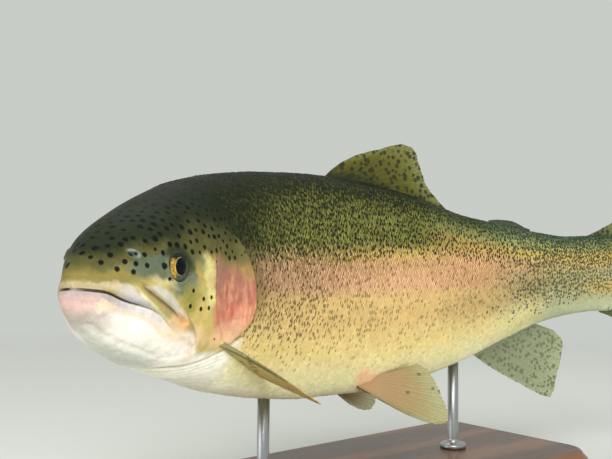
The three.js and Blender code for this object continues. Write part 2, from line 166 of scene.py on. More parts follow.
def ease(low, high, x):
    """0 below low, 1 above high and a smooth step between."""
    t = np.clip((np.asarray(x, float) - low) / (high - low), 0, 1)
    return t * t * (3 - 2 * t)


def window(x, rise, full, wane, gone):
    """0 before rise, 1 from full to wane and 0 after gone, with smooth steps between."""
    return ease(rise, full, x) * ease(gone, wane, x)


def hump(x, width):
    """1 at 0, falling away on both sides over the width."""
    return np.exp(-(x / width) ** 2)


def from_line(line, s, z):
    """Distance from a line in the side view, above 0 on its left and below 0 on its right."""
    best = np.full(np.shape(s), np.inf)
    side = np.ones(np.shape(s))
    for a, b in zip(line[:-1], line[1:]):
        run = np.subtract(b, a)
        t = np.clip(((s - a[0]) * run[0] + (z - a[1]) * run[1]) / (run @ run), 0, 1)
        ds = s - a[0] - t * run[0]
        dz = z - a[1] - t * run[1]
        distance = np.hypot(ds, dz)
        nearer = distance < best
        side = np.where(nearer, np.where(run[0] * dz - run[1] * ds < 0, -1, 1), side)
        best = np.where(nearer, distance, best)
    return best * side


def inside(outline, s, z):
    """Distance from a closed outline in the side view, above 0 inside it."""
    loop = [*outline, outline[0]]
    within = np.zeros(np.shape(s), bool)
    for a, b in zip(loop[:-1], loop[1:]):
        if a[1] != b[1]:
            crossing = a[0] + (z - a[1]) * (b[0] - a[0]) / (b[1] - a[1])
            within ^= ((a[1] > z) != (b[1] > z)) & (s < crossing)
    return np.abs(from_line(loop, s, z)) * np.where(within, 1, -1)


# ------------------------------------------------------------------ lines of the head, (s, z)
MOUTH = rounded([(-6, -1.2), (2.5, -2), (10.6, -3.2), (19, -7.3), (30, -10.6), (39.8, -14.4),
                 (57, -25.6), (74.5, -34)])
MAXILLA = np.concatenate([
    rounded([(12, -2.9), (19, -6.8), (30, -10.1), (39.8, -13.9), (57, -25), (66, -29.6)]),
    [(74.8, -33.4)],
    rounded([(77.5, -31.5), (70, -21.5), (60, -14.2), (47.6, -9.8), (36, -4), (27, 0.6),
             (18.5, 1.8), (12, 1.6)]),
])
COVER_REAR = [(HEAD_END, -34.6), (120, -30.8), (128, -27), (135, -21.6), (138.9, -14),
              (139.2, -5.5), (136.6, 6.5), (131.6, 16.8), (125.7, 23.6), (120, 29.9),
              (HEAD_END, 34.4)]
COVER_FRONT = [(104, 36), (95, 31), (90, 18), (88.6, 2), (90.5, -13), (96, -24), (103, -31.4)]
COVER = np.concatenate([rounded(COVER_REAR), rounded(COVER_FRONT)])
GOLD_EDGE = rounded([(9, -1.6), (14, 0.9), (19.5, 1.9), (23.4, -1.8), (27, -5.9), (40, -15),
                     (53.4, -23.1), (60, -26)])
GROOVE = rounded([(25, 2.6), (28, 0.6), (35.9, -4.4), (47.6, -10.4), (54, -14.5), (60, -19)])
PEARL = rounded([(29, 0.4), (35, 0.9), (43, -1.2), (50, -5.8), (56, -10.6), (61.5, -15.5),
                 (60, -18), (53, -13.6), (47.6, -10.2), (40, -5.8), (34, -2.2), (29, 0.4)], 48)
JAW_TOP = rounded([(-6, -1.2), (2.5, -2), (10.6, -3.2), (19, -7.3), (30, -10.6), (39.8, -14.4),
                   (50, -21), (60, -24.5), (69, -25.5), (76, -30.5), (82, -37.5), (96, -38.6),
                   (112, -38.6)], 48)
SUBORBITAL = rounded([(46, -1.5), (53.4, -3.4), (63.2, -15), (71, -23.6), (76.9, -32.7)])
PREOPERCLE = rounded([(95, 30), (90.6, 17.7), (88.6, -5.5), (92, -17), (96.4, -23), (104, -31)])
GULAR = rounded([(60, -62), (64.4, -47.4), (84.7, -45.1), (98.4, -41.4), (114, -35.6)])
JAW_FOLD = rounded([(8, -19), (18.2, -25.5), (39.8, -33.6), (63.2, -39.4), (76, -37.4)])
HEAD_TOP = rounded([(0, 8), (12, 10), (22, 13), (34, 17), (55, 19), (75, 19), (92, 20), (108, 17),
                    (124, 17), (140, 20)])
NAPE = [(132, -70), (118, -36), (126, -26), (140, -16), (140, 0), (132, 18), (121, 31), (112, 45),
        (103, 62), (100, 80)]     # where the scales begin
EYE = {"s": 53.4, "y": 28.9, "z": 11.6, "radius": 9.2, "turn": 0.2, "tilt": 0.12, "opening": 8.0}
NOSTRIL = (24.2, 16.8)
COVER_RIDGE = [(98, -20), (116, -19), (136, -17)]
BROW = (52, 23.5)
DORSAL_BASE = (268, 356)         # no scales grow under the fin
CHEEK_ROOT = (110, -34)          # of the pectoral fin
BELLY_ROOT = (292, -72)          # of the pelvic fin
ADIPOSE_ROOT = 461
GULAR_FOLD = 3.2                 # from one fold under the throat to the next


# ------------------------------------------------------------------ the body's surface
def surface(s, turn):
    """Turn is 0 at the crown, a quarter circle on the fish's right and a half one at the keel."""
    side, up = np.sin(turn), np.cos(turn)
    ending = np.sqrt(np.clip(1 - ((s - BODY_END) / CLOSING) ** 2, 0.002, 1))
    narrowing = np.where(s > BODY_END, ending, 1)
    y = half(s) * narrowing * np.sign(side) * np.abs(side) ** SQUARENESS
    z = np.where(up > 0, crown(s), keel(s)) * np.sign(up) * np.abs(up) ** SQUARENESS
    return y, z


def gap_width(s):
    """Half of the gap between the lips."""
    return 0.42 + 0.36 * ease(32, 6, s)


def relief(s, y, z):
    """How far the skin stands out of the plain body: lips, plates, folds and sockets."""
    mouth = from_line(MOUTH, s, z)
    gape = ease(62, 8, s)
    opening = gap_width(s)
    slit = 1 - ease(0.45, 1.05, np.abs(mouth) / opening)
    fold = from_line(JAW_FOLD, s, z)
    lift = -(0.4 + 3.2 * ease(40, 10, s)) * gape ** 0.5 * slit
    lift += 0.9 * gape * hump(mouth - opening - 2.2, 1.9)
    lift += 0.8 * gape * hump(mouth + opening + 2.4, 2.2)
    lift += 1.5 * hump(np.hypot(s - 3, (z + 10) / 1.3), 7)
    lift -= 1.4 * hump(np.hypot(s - 1, z - 2), 5)
    lift += 0.7 * window(fold, -12, -3, -1.5, 0)

    groove = from_line(GROOVE, s, z)
    lift += 1.0 * ease(-0.7, 1.8, inside(MAXILLA, s, z)) * ease(8, 20, s)
    lift -= 0.9 * hump(groove, 0.9) * ease(22, 28, s)
    lift += 0.5 * hump(groove - 2.6, 1.6) * ease(26, 34, s)
    lift -= 0.45 * hump(from_line(SUBORBITAL, s, z), 0.8)
    lift -= 0.25 * hump(from_line(GOLD_EDGE, s, z), 0.7)
    lift -= 0.7 * hump(fold, 1.1) * ease(60, 48, s)

    r = np.hypot(s - EYE["s"], z - EYE["z"])
    rim = EYE["opening"]
    lift = np.where(r < rim + 2, lift * ease(rim, rim + 2, r), lift)
    lift -= 8.5 * (1 - ease(rim - 1.0, rim + 0.35, r))
    lift += 0.75 * hump(r - rim - 1.2, 0.9) - 0.35 * hump(r - rim - 3.2, 0.9)
    lift += 0.8 * hump(np.hypot((s - BROW[0]) / 1.7, z - BROW[1]), 4.5)

    pit, rear_pit, ring = nostril(s, z)
    lift += 0.9 * hump(ring, 0.8)
    lift -= 2.4 * (1 - ease(0.5, 1.5, pit)) + 1.4 * (1 - ease(0.4, 1.1, rear_pit))

    cover = inside(COVER, s, z)
    plate = from_line(PREOPERCLE, s, z)
    rear = ease(104, 122, s)
    lift += (0.35 + 1.25 * rear) * ease(-0.2, 1.1, cover)
    lift -= 2.4 * rear * hump(cover + 1.1, 1.0)
    lift -= 0.5 * hump(plate, 0.9)
    lift += 0.5 * hump(plate + 2.2, 1.5)
    lift -= 0.35 * hump(from_line(COVER_RIDGE, s, z), 0.8) * ease(-1, 2, cover)

    gular = from_line(GULAR, s, z)
    under = window(gular, -16, -10, -1.2, 0) * window(s, 56, 66, 108, 120)
    lift -= under * (0.7 + 0.35 * np.sin(gular * 2 * math.pi / GULAR_FOLD))

    midline = ease(3.5, 0.5, np.abs(y))
    ridge = 1.6 * window(s, 262, 276, 352, 366) + 1.0 * hump(s - ADIPOSE_ROOT, 13)
    lift += midline * np.where(z > 0, ridge, 1.4 * window(s, 414, 426, 474, 488) * (z < 0))
    lift += 1.6 * hump(np.hypot(s - CHEEK_ROOT[0], z - CHEEK_ROOT[1]), 5) * (s > 104)
    lift += 1.5 * hump(np.hypot(s - BELLY_ROOT[0], (z - BELLY_ROOT[1]) * 1.2), 9)
    scaled = ease(0, 3, -from_line(NAPE, s, z))
    return lift + 0.35 * scaled * ease(-1, 6, s - 136)


def nostril(s, z):
    """Distances from its two openings and from the raised rim round them."""
    ds, dz = s - NOSTRIL[0], z - NOSTRIL[1]
    rim = np.hypot(ds / 1.2, dz) - 2.2
    return np.hypot(ds + 1.0, dz - 0.2), np.hypot(ds - 1.5, dz - 0.6), rim


GRAIN = smooth_curve(np.array([0, 100, 160, 300, 420, 520, 600]),
                     np.array([2.7, 2.7, 2.7, 2.7, 2.4, 2.1, 1.9]))   # the scales' pitch
fine_s = np.linspace(0, 1, 6001) ** 2 * (BODY_END + 14)
fine_step = np.hypot(np.diff(fine_s), np.diff((crown(fine_s) + keel(fine_s)) / 2))
fine_pelt = np.concatenate(([0], np.cumsum(fine_step / GRAIN((fine_s[1:] + fine_s[:-1]) / 2))))
FINE_TURNS = np.linspace(0, math.pi, 361)
LATERAL_LINE = smooth_curve(np.array([0, 110, 150, 230, 560, 600]),
                            np.array([14, 22, 15, 6, 1, 1]))


def girth_arc(s, turn):
    """Distance round the flank from the lateral line, in scales: above 0 towards the back."""
    rows, place = np.unique(np.round(np.ravel(s), 3), return_inverse=True)
    y, z = surface(rows[:, None], FINE_TURNS[None, :])
    arc = np.concatenate([np.zeros((len(rows), 1)),
                          np.cumsum(np.hypot(np.diff(y, axis=1), np.diff(z, axis=1)), axis=1)], 1)
    level = LATERAL_LINE(rows)
    zero = np.array([np.interp(-h, -zz, a) for h, zz, a in zip(level, z, arc)])
    turned = turn % (2 * math.pi)
    folded = np.ravel(np.minimum(turned, 2 * math.pi - turned))
    at = folded / math.pi * (len(FINE_TURNS) - 1)
    i = np.minimum(at.astype(int), len(FINE_TURNS) - 2)
    reach = arc[place, i] * (1 - at + i) + arc[place, i + 1] * (at - i)
    return ((zero[place] - reach) / GRAIN(rows[place])).reshape(np.shape(s))


def pelt_place(s, turn, warm):
    """Along and round the body, in scales, and the share of pink or blood."""
    return np.stack([np.interp(s, fine_s, fine_pelt), girth_arc(s, turn), warm], -1)


# ------------------------------------------------------------------ colours
def linear(red, green, blue):
    """A colour given from 0 to 255 on a screen, as light from 0 to 1."""
    share = np.array([red, green, blue]) / 255
    return np.where(share <= 0.04045, share / 12.92, ((share + 0.055) / 1.055) ** 2.4)


# Some of these colours are painted shade or a painted highlight, marked where head_colour lays
# them.
PAINT = {name: linear(*shade) for name, shade in {
    "back olive": (24, 29, 17), "shoulder olive": (36, 42, 23), "flank olive": (78, 80, 43),
    "moss": (92, 94, 50), "old gold": (172, 146, 74), "rose front": (158, 121, 90),
    "rose": (196, 151, 112), "straw": (196, 166, 108), "pale straw": (212, 190, 126),
    "cream": (222, 216, 164), "belly": (238, 236, 196), "chest": (226, 220, 168),
    "stalk green": (66, 76, 48), "stalk olive": (130, 128, 80), "stalk amber": (164, 146, 96),
    "head olive": (35, 41, 26), "head moss": (85, 82, 46), "snout ochre": (130, 117, 64),
    "snout pale": (204, 186, 156), "snout grey": (86, 90, 66), "nostril slate": (84, 96, 80),
    "nostril blue highlight": (164, 174, 180), "eye grey": (104, 112, 90), "eye dark": (84, 88, 60),
    "cheek green": (176, 160, 94), "cheek moss": (136, 130, 62), "cheek gold": (196, 172, 104),
    "cheek cream": (200, 186, 138), "lemon": (216, 204, 138), "mauve": (144, 104, 86),
    "coral": (196, 124, 98), "crimson": (184, 92, 78), "peach pink": (230, 160, 124),
    "brick": (150, 84, 66), "cover olive": (100, 97, 58), "lip pearl": (170, 164, 172),
    "plate pearl": (190, 184, 172), "jaw white": (246, 240, 228), "jaw peach": (240, 212, 184),
    "chin pink": (216, 176, 168), "jaw painted shade": (208, 210, 198), "orange": (226, 166, 100),
    "groove painted shade": (104, 88, 56), "throat": (248, 246, 228), "front sand": (186, 158, 102),
    "front dun": (164, 136, 90), "front mauve": (144, 112, 80), "front shade": (96, 86, 54),
    "front gold": (124, 106, 62), "rear pale": (204, 184, 124), "rear straw": (175, 149, 98),
    "rear rose": (174, 134, 92), "rear gold": (184, 146, 84), "stalk cream": (194, 186, 134),
    "stalk sand": (166, 150, 104), "stalk dun": (146, 132, 92), "stalk rose": (172, 138, 98),
    "tail pale": (172, 177, 142), "tail cream": (158, 158, 120), "tail dun": (160, 157, 115),
    "tail mid": (150, 144, 102), "tail rose": (176, 157, 106), "tail gold": (186, 160, 90),
    "tail olive": (138, 144, 92), "tail moss": (82, 98, 72), "tail back": (58, 74, 56),
    "chin painted shade": (168, 148, 138), "peach cream": (238, 200, 156), "jaw pearl": (212, 204, 198),
    # painted shade, for the slit between the lips, the nostrils' pits and the eye's opening
    "dark": (28, 26, 24),
}.items()}
# The body's colours at these heights, from the keel, -1, to the crown, 1, at stations along it.
LEVELS = (-1, -0.82, -0.55, -0.3, -0.12, 0.02, 0.17, 0.25, 0.38, 0.6, 0.82, 1)
BANDS = {
    120: ("throat", "chest", "pale straw", "front sand", "front dun", "front mauve", "front mauve",
          "front shade", "shoulder olive", "shoulder olive", "back olive", "back olive"),
    200: ("belly", "chest", "pale straw", "straw", "front sand", "rose front", "front mauve",
          "front gold", "moss", "flank olive", "shoulder olive", "back olive"),
    325: ("belly", "cream", "pale straw", "straw", "straw", "rose", "rear rose",
          "old gold", "moss", "moss", "shoulder olive", "back olive"),
    400: ("belly", "cream", "rear pale", "rear straw", "rear straw", "rear rose", "rear rose",
          "rear rose", "rear gold", "stalk olive", "stalk green", "shoulder olive"),
    455: ("belly", "stalk cream", "stalk cream", "stalk sand", "stalk dun", "stalk dun",
          "stalk rose", "stalk rose", "tail gold", "tail olive", "tail moss", "stalk green"),
    500: ("tail pale", "tail pale", "tail cream", "tail dun", "tail mid", "tail mid",
          "tail rose", "tail rose", "tail gold", "tail olive", "tail moss", "tail back"),
    570: ("tail pale", "tail pale", "tail cream", "tail gold", "tail rose", "tail dun",
          "tail rose", "tail gold", "tail gold", "tail olive", "tail moss", "tail back"),
}


def height_share(s, z):
    """-1 at the keel, 0 on the midline and 1 at the crown."""
    return z / np.where(z > 0, np.maximum(crown(s), 1), np.maximum(keel(s), 1))


def band_level(s, z):
    """The height share, with the pink band's upper border climbing towards the tail."""
    level = height_share(s, z)
    return level - 0.09 * ease(230, 400, s) * window(level, 0.0, 0.2, 0.5, 0.9)


def body_colour(s, z):
    """The colours of BANDS, eased from one station to the next."""
    level = band_level(s, z)
    stations = np.array(list(BANDS))
    looks = np.stack([np.stack([np.interp(level, LEVELS, [PAINT[name][c] for name in names])
                                for c in range(3)], -1) for names in BANDS.values()])
    place = np.interp(s, stations, np.arange(len(stations)))
    i = np.minimum(place.astype(int), len(stations) - 2)
    share = ease(0, 1, place - i)[..., None]
    first, second = (np.take_along_axis(looks, (i + k)[None, ..., None].repeat(3, -1), 0)[0]
                     for k in (0, 1))
    return first * (1 - share) + second * share


def patch(s, z, centre, radii, tilt=0, soft=0.5):
    """1 in the middle of a soft oval, 0 outside it."""
    turn = math.radians(tilt)
    ds, dz = s - centre[0], z - centre[1]
    along = (ds * math.cos(turn) + dz * math.sin(turn)) / radii[0]
    across = (dz * math.cos(turn) - ds * math.sin(turn)) / radii[1]
    return ease(1 + soft / 2, 1 - soft / 2, np.hypot(along, across))


# Colour, (s, z), (half length, half height), tilt in degrees, softness, strength.
HEAD_PATCHES = (
    ("snout ochre", (10, 8), (17, 10), 10, 0.9, 1.0),
    ("snout pale", (6, 0.2), (18, 2.3), -4, 1.0, 0.55),
    ("snout grey", (16, 16), (12, 5), 30, 0.8, 0.8),
    ("nostril slate", (36, 13), (15, 9), 6, 0.6, 0.95),
    ("eye grey", (56, 9), (14, 14), 0, 0.5, 0.95),
    ("eye dark", (62, 16), (13, 8), 0, 0.7, 0.9),
    ("old gold", (71, 9), (2.6, 6), 8, 0.9, 0.75),
    ("eye grey", (75, 14), (4, 7), 0, 0.9, 0.5),
    ("cheek moss", (66, -8), (11, 7), -35, 0.9, 0.85),
    ("snout ochre", (28, 7), (13, 5), 0, 1.0, 0.3),
    ("nostril slate", (31, 14), (13, 8), 6, 0.7, 0.6),
    ("cheek gold", (74, -16), (9, 9), -30, 0.9, 0.8),
    ("lemon", (82, 4), (5.5, 16), 7, 0.8, 0.7),
    ("cheek cream", (70, -24), (8, 4), -30, 1.0, 0.5),
    ("cheek cream", (42, 2.6), (9, 2.2), -12, 1.2, 0.7),
    ("cheek gold", (90, -28), (13, 12), -20, 0.9, 0.7),
    ("coral", (98, -12), (11, 19), 4, 0.6, 0.9),
    ("mauve", (96, 6), (9, 20), 4, 0.7, 1.0),
    ("coral", (112, -8), (16, 22), 0, 0.6, 1.0),
    ("coral", (126, -4), (15, 19), 0, 0.6, 1.0),
    ("mauve", (118, 10), (22, 8), -8, 1.0, 0.7),
    ("crimson", (104, -10), (5, 16), 10, 0.9, 0.7),
    ("crimson", (129, 2), (5, 12), -6, 0.9, 0.5),
    ("peach pink", (119, -18), (9, 9), 30, 0.9, 0.9),
    ("old gold", (114, 14), (17, 5), -12, 0.9, 0.6),
    ("mauve", (112, 3), (25, 12), 0, 1.0, 0.75),
    ("old gold", (126, 12), (13, 8), -12, 1.0, 0.6),
    ("peach cream", (108, -27), (19, 8), 12, 1.0, 0.7),
    ("peach cream", (75, -27), (11, 5), -20, 1.2, 0.5),
    ("cover olive", (112, 24), (27, 12), -6, 0.9, 0.95),
)


def ragged(s, z):
    """Moves a place a little, so that the borders of the colours wander."""
    ds = 0.9 * np.sin(0.41 * z + 0.23 * s) + 0.6 * np.sin(1.13 * z - 0.52 * s + 1.7)
    dz = 0.9 * np.sin(0.37 * s - 0.29 * z + 0.6) + 0.4 * np.sin(1.07 * s + 0.61 * z)
    return s + ds + 0.3 * np.sin(2.3 * z + 1.1 * s), z + dz + 0.15 * np.sin(2.6 * s - 1.4 * z)


def head_colour(s, z, base):
    """Lays the head's colours over the body's, one after the other, with painted shade in the
    creases and openings, under the jaw's fold and on the chin, and a painted highlight on the
    nostril's rim.
    """
    colour = base
    loose_s, loose_z = ragged(s, z)

    def lay(name, amount):
        nonlocal colour
        colour = colour + (PAINT[name] - colour) * np.clip(amount, 0, 1)[..., None]

    cover = inside(COVER, s, z)
    on_head = np.maximum(ease(HEAD_END + 6, HEAD_END - 2, s), ease(-0.6, 0.4, cover))
    lay("cheek green", on_head)
    for name, centre, radii, tilt, soft, strength in HEAD_PATCHES:
        lay(name, strength * on_head * patch(loose_s, loose_z, centre, radii, tilt, soft))

    above = from_line(HEAD_TOP, loose_s, loose_z)
    top = ease(142, 124, s)
    lay("head moss", ease(126, 108, s) * ease(-3.0, 2.5, above))
    lay("head olive", top * ease(1, 10 + 16 * ease(50, 75, loose_s), above))
    lay("back olive", top * ease(16, 38, above) * ease(35, 75, s) * 0.8)

    plate = inside(MAXILLA, s, z)
    gold = from_line(GOLD_EDGE, s, z)
    groove = from_line(GROOVE, s, z)
    lay("stalk amber", ease(-0.5, 0.5, plate) * ease(0, 0.6, gold) * ease(20, 26, s))
    lay("orange", patch(s, z, (57, -17.5), (8, 4), -38, 1.0) * 0.75)
    lay("cream", hump(gold - 0.9, 0.9) * window(s, 22, 27, 50, 60) * 0.8)
    # painted shade in the groove below the upper jaw's pearly plate
    lay("groove painted shade", hump(groove + 0.9, 1.5) * window(s, 25, 29, 50, 60))
    lay("plate pearl", ease(-1.0, 1.2, inside(PEARL, s, z)) * (0.35 + 0.6 * ease(62, 48, s)))

    mouth = from_line(MOUTH, s, z)
    white_plate = ease(1.0, -1.0, gold) * ease(0, 0.8, mouth) * window(s, 10, 24, 58, 70)
    lay("plate pearl", white_plate)
    lay("lip pearl", white_plate * ease(7, 1, mouth) * 0.8)
    rear = from_line(JAW_TOP, s, z)
    blur = 2.5 * ease(48, 58, s)
    jaw = ease(0.3 + blur, -0.5 - blur, rear) * ease(112, 100, s)
    lay("jaw white", jaw)
    lay("jaw peach", jaw * hump(rear + 2.5, 3.5) * window(s, 46, 56, 76, 86) * 0.8)
    lay("jaw peach", jaw * hump(mouth + 5.4, 1.6) * window(s, 6, 12, 44, 56) * 0.85)
    lip = jaw * hump(mouth + 2.0, 2.4) * window(s, -3, 2, 40, 52)
    lay("jaw pearl", lip)
    lay("lip pearl", lip * ease(26, 12, s))
    lay("peach cream", patch(loose_s, loose_z, (53, -22), (9, 5), -30, 1.2) * 0.55)
    # painted shade over the jaw's front, darker towards the snout tip
    lay("chin painted shade", jaw * ease(26, 4, s) * 0.75)
    lay("chin pink", jaw * patch(loose_s, loose_z, (2, -9.5), (3.6, 4.4), 0, 1.2) * 0.75)
    lay("jaw peach", jaw * patch(loose_s, loose_z, (10, -9.5), (5, 2.6), 0, 1.0) * 0.8)
    # painted shade on the underside of the jaw, below its fold
    lay("jaw painted shade", jaw * ease(1.5, -3, from_line(JAW_FOLD, s, z)) * ease(70, 56, s))

    gular = from_line(GULAR, s, z)
    lay("throat", ease(0.6, -0.8, gular) * window(s, 44, 60, 114, 132))
    lay("stalk amber", hump(gular, 0.8) * window(s, 62, 70, 108, 118) * 0.65)

    behind = ease(112, 120, s)
    lay("brick", hump(cover - 0.3, 0.8) * behind * window(z, -24, -16, 14, 24) * 0.7)
    # painted shade in a strip just behind the gill cover's edge
    lay("front shade", hump(cover + 5, 5) * behind * window(z, -26, -6, 24, 34) * 0.5)
    # painted shade in the crease just behind the gill cover's edge
    lay("groove painted shade", hump(cover + 1.6, 1.1) * ease(110, 120, s) * ease(32, 24, z) * 0.85)
    lay("brick", hump(from_line(PREOPERCLE, s, z), 0.8) * 0.3 * ease(18, 10, z))
    slit = 1 - ease(0.5, 1.05, np.abs(mouth) / gap_width(s))
    # painted shade in the slit between the lips
    lay("dark", slit * ease(44, 20, s) * (0.78 - 0.3 * ease(8, 0, s)))
    # painted shade along the mouth's line, further back
    lay("groove painted shade", hump(mouth, 0.5) * window(s, 30, 36, 46, 58) * 0.35)

    pit, rear_pit, ring = nostril(s, z)
    lay("nostril slate", ease(0.4, -0.6, ring))
    # partly painted highlight: the rim's own bluish grey, laid only on its lit side
    lit_side = ease(-2.0, 1.2, s - NOSTRIL[0] + z - NOSTRIL[1])
    lay("nostril blue highlight", hump(ring, 0.7) * lit_side * 0.45)
    # painted shade in the nostril's two pits
    lay("dark", 1 - ease(0.6, 1.5, pit))
    lay("dark", 1 - ease(0.5, 1.2, rear_pit))
    ds, dz = s - EYE["s"], z - EYE["z"]
    r = np.hypot(ds, dz)
    # painted shade inside the eye's opening, round the eyeball
    lay("dark", ease(EYE["opening"] + 0.9, EYE["opening"] - 0.4, r) * 0.75)
    lay("head olive", hump(r - 9.8, 2.6) * ease(-1, 5, dz + 0.35 * ds) * 0.85)
    lay("peach pink", patch(loose_s, loose_z, (289, -70), (12, 6), -20, 1.2) * 0.6)
    return colour


def ground_colour(s, z):
    return head_colour(s, z, body_colour(s, z))


def zone(s, z):
    """How many spots there are, how dark they are and how much the scales glitter."""
    level = band_level(s, z)
    rear = ease(400, 480, s)
    front = ease(300, 170, s)
    many = np.interp(level, (-0.75, -0.6, -0.4, -0.2, 0.0, 0.2), (0, 0.2, 0.6, 0.68, 0.5, 0.45))
    many = many * (0.5 + 0.5 * front) + ease(0.18, 0.3, level) * 0.6
    many = many + rear * ease(-0.65, -0.2, level) * (0.9 - many)
    dark = np.interp(level, (-0.7, -0.4, 0, 0.2, 0.3, 1), (0.45, 0.72, 0.78, 0.85, 0.95, 0.95))
    dark = dark * (0.66 + 0.34 * np.maximum(front, ease(0.1, 0.3, level)))
    glitter = np.interp(level, (-0.6, -0.1, 0.02, 0.2, 0.3, 0.7, 0.95),
                        (0.1, 0.3, 0.65, 0.75, 1, 0.75, 0.1))
    scaled = ease(0, 4, -from_line(NAPE, s, z))
    settled = 0.25 + 0.75 * ease(110, 190, s - 40 * ease(0.3, 0.9, level))
    return np.stack([many * scaled, dark, glitter * scaled * settled], -1)


# Spots that can be told apart round the eye and on the cheek: s, z, radius.
CHEEK_SPOTS = ((15.2, 9, 1.6), (24.2, 12.1, 1.6), (22.4, 7.8, 1.6), (30, 17.1, 1.6),
               (30, 11.4, 1.6), (41.7, 11.6, 2.2), (42.5, 18.6, 1.8), (49, 23.4, 1.9),
               (45.2, 4.6, 1.2), (65.2, -1.5, 1.4), (74.9, -6.1, 1.5), (82.7, -5.3, 1.4),
               (63.2, -10.1, 1.5), (73, -11.8, 1.6), (80.8, -11.4, 1.5), (94.5, -30.2, 1.0),
               (88.6, 15.4, 1.1), (14.5, 16.2, 1.7), (21.5, 22.1, 1.8), (25.1, 24.9, 1.7),
               (29, 26, 1.6), (37.8, 20.4, 1.2), (33.9, 24.6, 1.6), (73, 20.2, 1.3),
               (84.7, 21, 1.3))
SPOT_LIMIT = 2.0                 # in a spot's radii, past which it leaves no mark
SPOT_TRIES = 5000
NOSTRIL_CLEAR = 6


def scattered_spots():
    """Round spots at random over the top of the head, apart from each other and the cheek's."""
    rng = np.random.default_rng(7)
    spots = []
    for s, z, r in CHEEK_SPOTS:
        up = np.clip(abs(z) / (crown(s) if z > 0 else keel(s)), 0, 1) ** (1 / SQUARENESS)
        reach = float(half(s) * np.sqrt(1 - up ** 2) ** SQUARENESS)
        spots += [(s, side * reach, z, r) for side in SIDES.values()]
    for _ in range(SPOT_TRIES):
        s = rng.uniform(5, 128)
        turn = rng.uniform(-1.35, 1.35)
        r = rng.uniform(1.45, 2.2) - 0.55 * ease(60, 120, s)
        y, z = surface(np.array(s), np.array(turn))
        above = from_line(HEAD_TOP, np.array(s), z)
        at_nostril = math.hypot(s - NOSTRIL[0], z - NOSTRIL[1]) < NOSTRIL_CLEAR
        if above < 0.5 or from_line(NAPE, np.array(s), z) < 1 or at_nostril:
            continue
        apart = 5.6 - 1.2 * ease(60, 110, s)
        if all((s - a) ** 2 + (y - b) ** 2 + (z - c) ** 2 > apart ** 2 for a, b, c, _ in spots):
            spots.append((s, float(y), float(z), r))
    return np.array(spots)


def spot_nearness(points, spots):
    """The least distance from a round spot, in its radii, up to SPOT_LIMIT."""
    nearest = np.full(len(points), SPOT_LIMIT)
    for s, y, z, r in spots:
        close = np.abs(points[:, 0] - s) < r * SPOT_LIMIT
        away = np.linalg.norm(points[close] - (s, y, z), axis=1) / r
        nearest[close] = np.minimum(nearest[close], away)
    return nearest


# ------------------------------------------------------------------ meshes
def mesh_object(name, points, faces, smooth=True):
    mesh = bpy.data.meshes.new(name)
    mesh.from_pydata(np.asarray(points).reshape(-1, 3).tolist(), [], faces)
    mesh.polygons.foreach_set("use_smooth", [smooth] * len(mesh.polygons))
    mesh.update()
    obj = bpy.data.objects.new(name, mesh)
    bpy.context.scene.collection.objects.link(obj)
    return obj


KINDS = {1: ("FLOAT", "value"), 3: ("FLOAT_VECTOR", "vector"), 4: ("FLOAT_COLOR", "color")}


def put(obj, **fields):
    """Stores one value of each field for each of the mesh's points, and ground as a colour."""
    for name, values in fields.items():
        values = np.asarray(values, float).reshape(len(obj.data.vertices), -1)
        if name == "ground":
            values = np.concatenate([values, np.ones((len(values), 1))], 1)
        kind, field = KINDS[values.shape[1]]
        layer = obj.data.attributes.new(name, kind, "POINT")
        layer.data.foreach_set(field, values.astype(np.float32).ravel())


def fix_normals(obj):
    """Turns a closed mesh's faces outwards."""
    shape = bmesh.new()
    shape.from_mesh(obj.data)
    bmesh.ops.recalc_face_normals(shape, faces=shape.faces)
    shape.to_mesh(obj.data)
    shape.free()


def bands(at):
    """Four-sided faces between the rings of a grid of points that closes on itself."""
    after = np.roll(at, -1, 1)
    return np.stack([at[:-1], after[:-1], after[1:], at[1:]], -1).reshape(-1, 4)


def fan(centre, ring):
    return [(centre, int(b), int(a)) for a, b in zip(ring, np.roll(ring, -1))]


def turned(line, segments):
    """A line of (radius, height) turned round: points (across, aside, height) and faces."""
    angle = np.linspace(0, 2 * math.pi, segments, endpoint=False)
    rings = np.array(line, float)[1:-1]
    points = np.stack([rings[:, :1] * np.cos(angle), rings[:, :1] * np.sin(angle),
                       rings[:, 1:] + 0 * angle], -1).reshape(-1, 3)
    at = 1 + np.arange(len(points)).reshape(len(rings), segments)
    faces = bands(at).tolist() + fan(0, at[0]) + fan(len(points) + 1, at[-1][::-1])
    return np.concatenate([[(0, 0, line[0][1])], points, [(0, 0, line[-1][1])]]), faces


def evaluated(obj, name):
    """The object's modifiers turned into a plain mesh of a new object."""
    graph = bpy.context.evaluated_depsgraph_get()
    mesh = bpy.data.meshes.new_from_object(obj.evaluated_get(graph), depsgraph=graph)
    made = bpy.data.objects.new(name, mesh)
    bpy.context.scene.collection.objects.link(made)
    bpy.data.objects.remove(obj)
    return made


# ------------------------------------------------------------------ node trees
class Signal:
    """A socket of a node tree, so that its maths can be written as Python."""

    def __init__(self, tree, socket):
        self.tree = tree
        self.socket = socket

    def maths(self, operation, *values):
        return self.tree.node("ShaderNodeMath", {"operation": operation}, dict(enumerate(values)))

    def __add__(self, other):
        return self.maths("ADD", self, other)

    def __sub__(self, other):
        return self.maths("SUBTRACT", self, other)

    def __rsub__(self, other):
        return self.maths("SUBTRACT", other, self)

    def __mul__(self, other):
        return self.maths("MULTIPLY", self, other)

    def __abs__(self):
        return self.maths("ABSOLUTE", self)

    def sine(self):
        return self.maths("SINE", self)

    def below(self, other):
        return self.maths("LESS_THAN", self, other)

    def ease(self, low, high, start=0.0, end=1.0):
        return self.tree.node("ShaderNodeMapRange", {"interpolation_type": "SMOOTHSTEP"},
                              {"Value": self, "From Min": low, "From Max": high,
                               "To Min": start, "To Max": end})

    __radd__ = __add__
    __rmul__ = __mul__


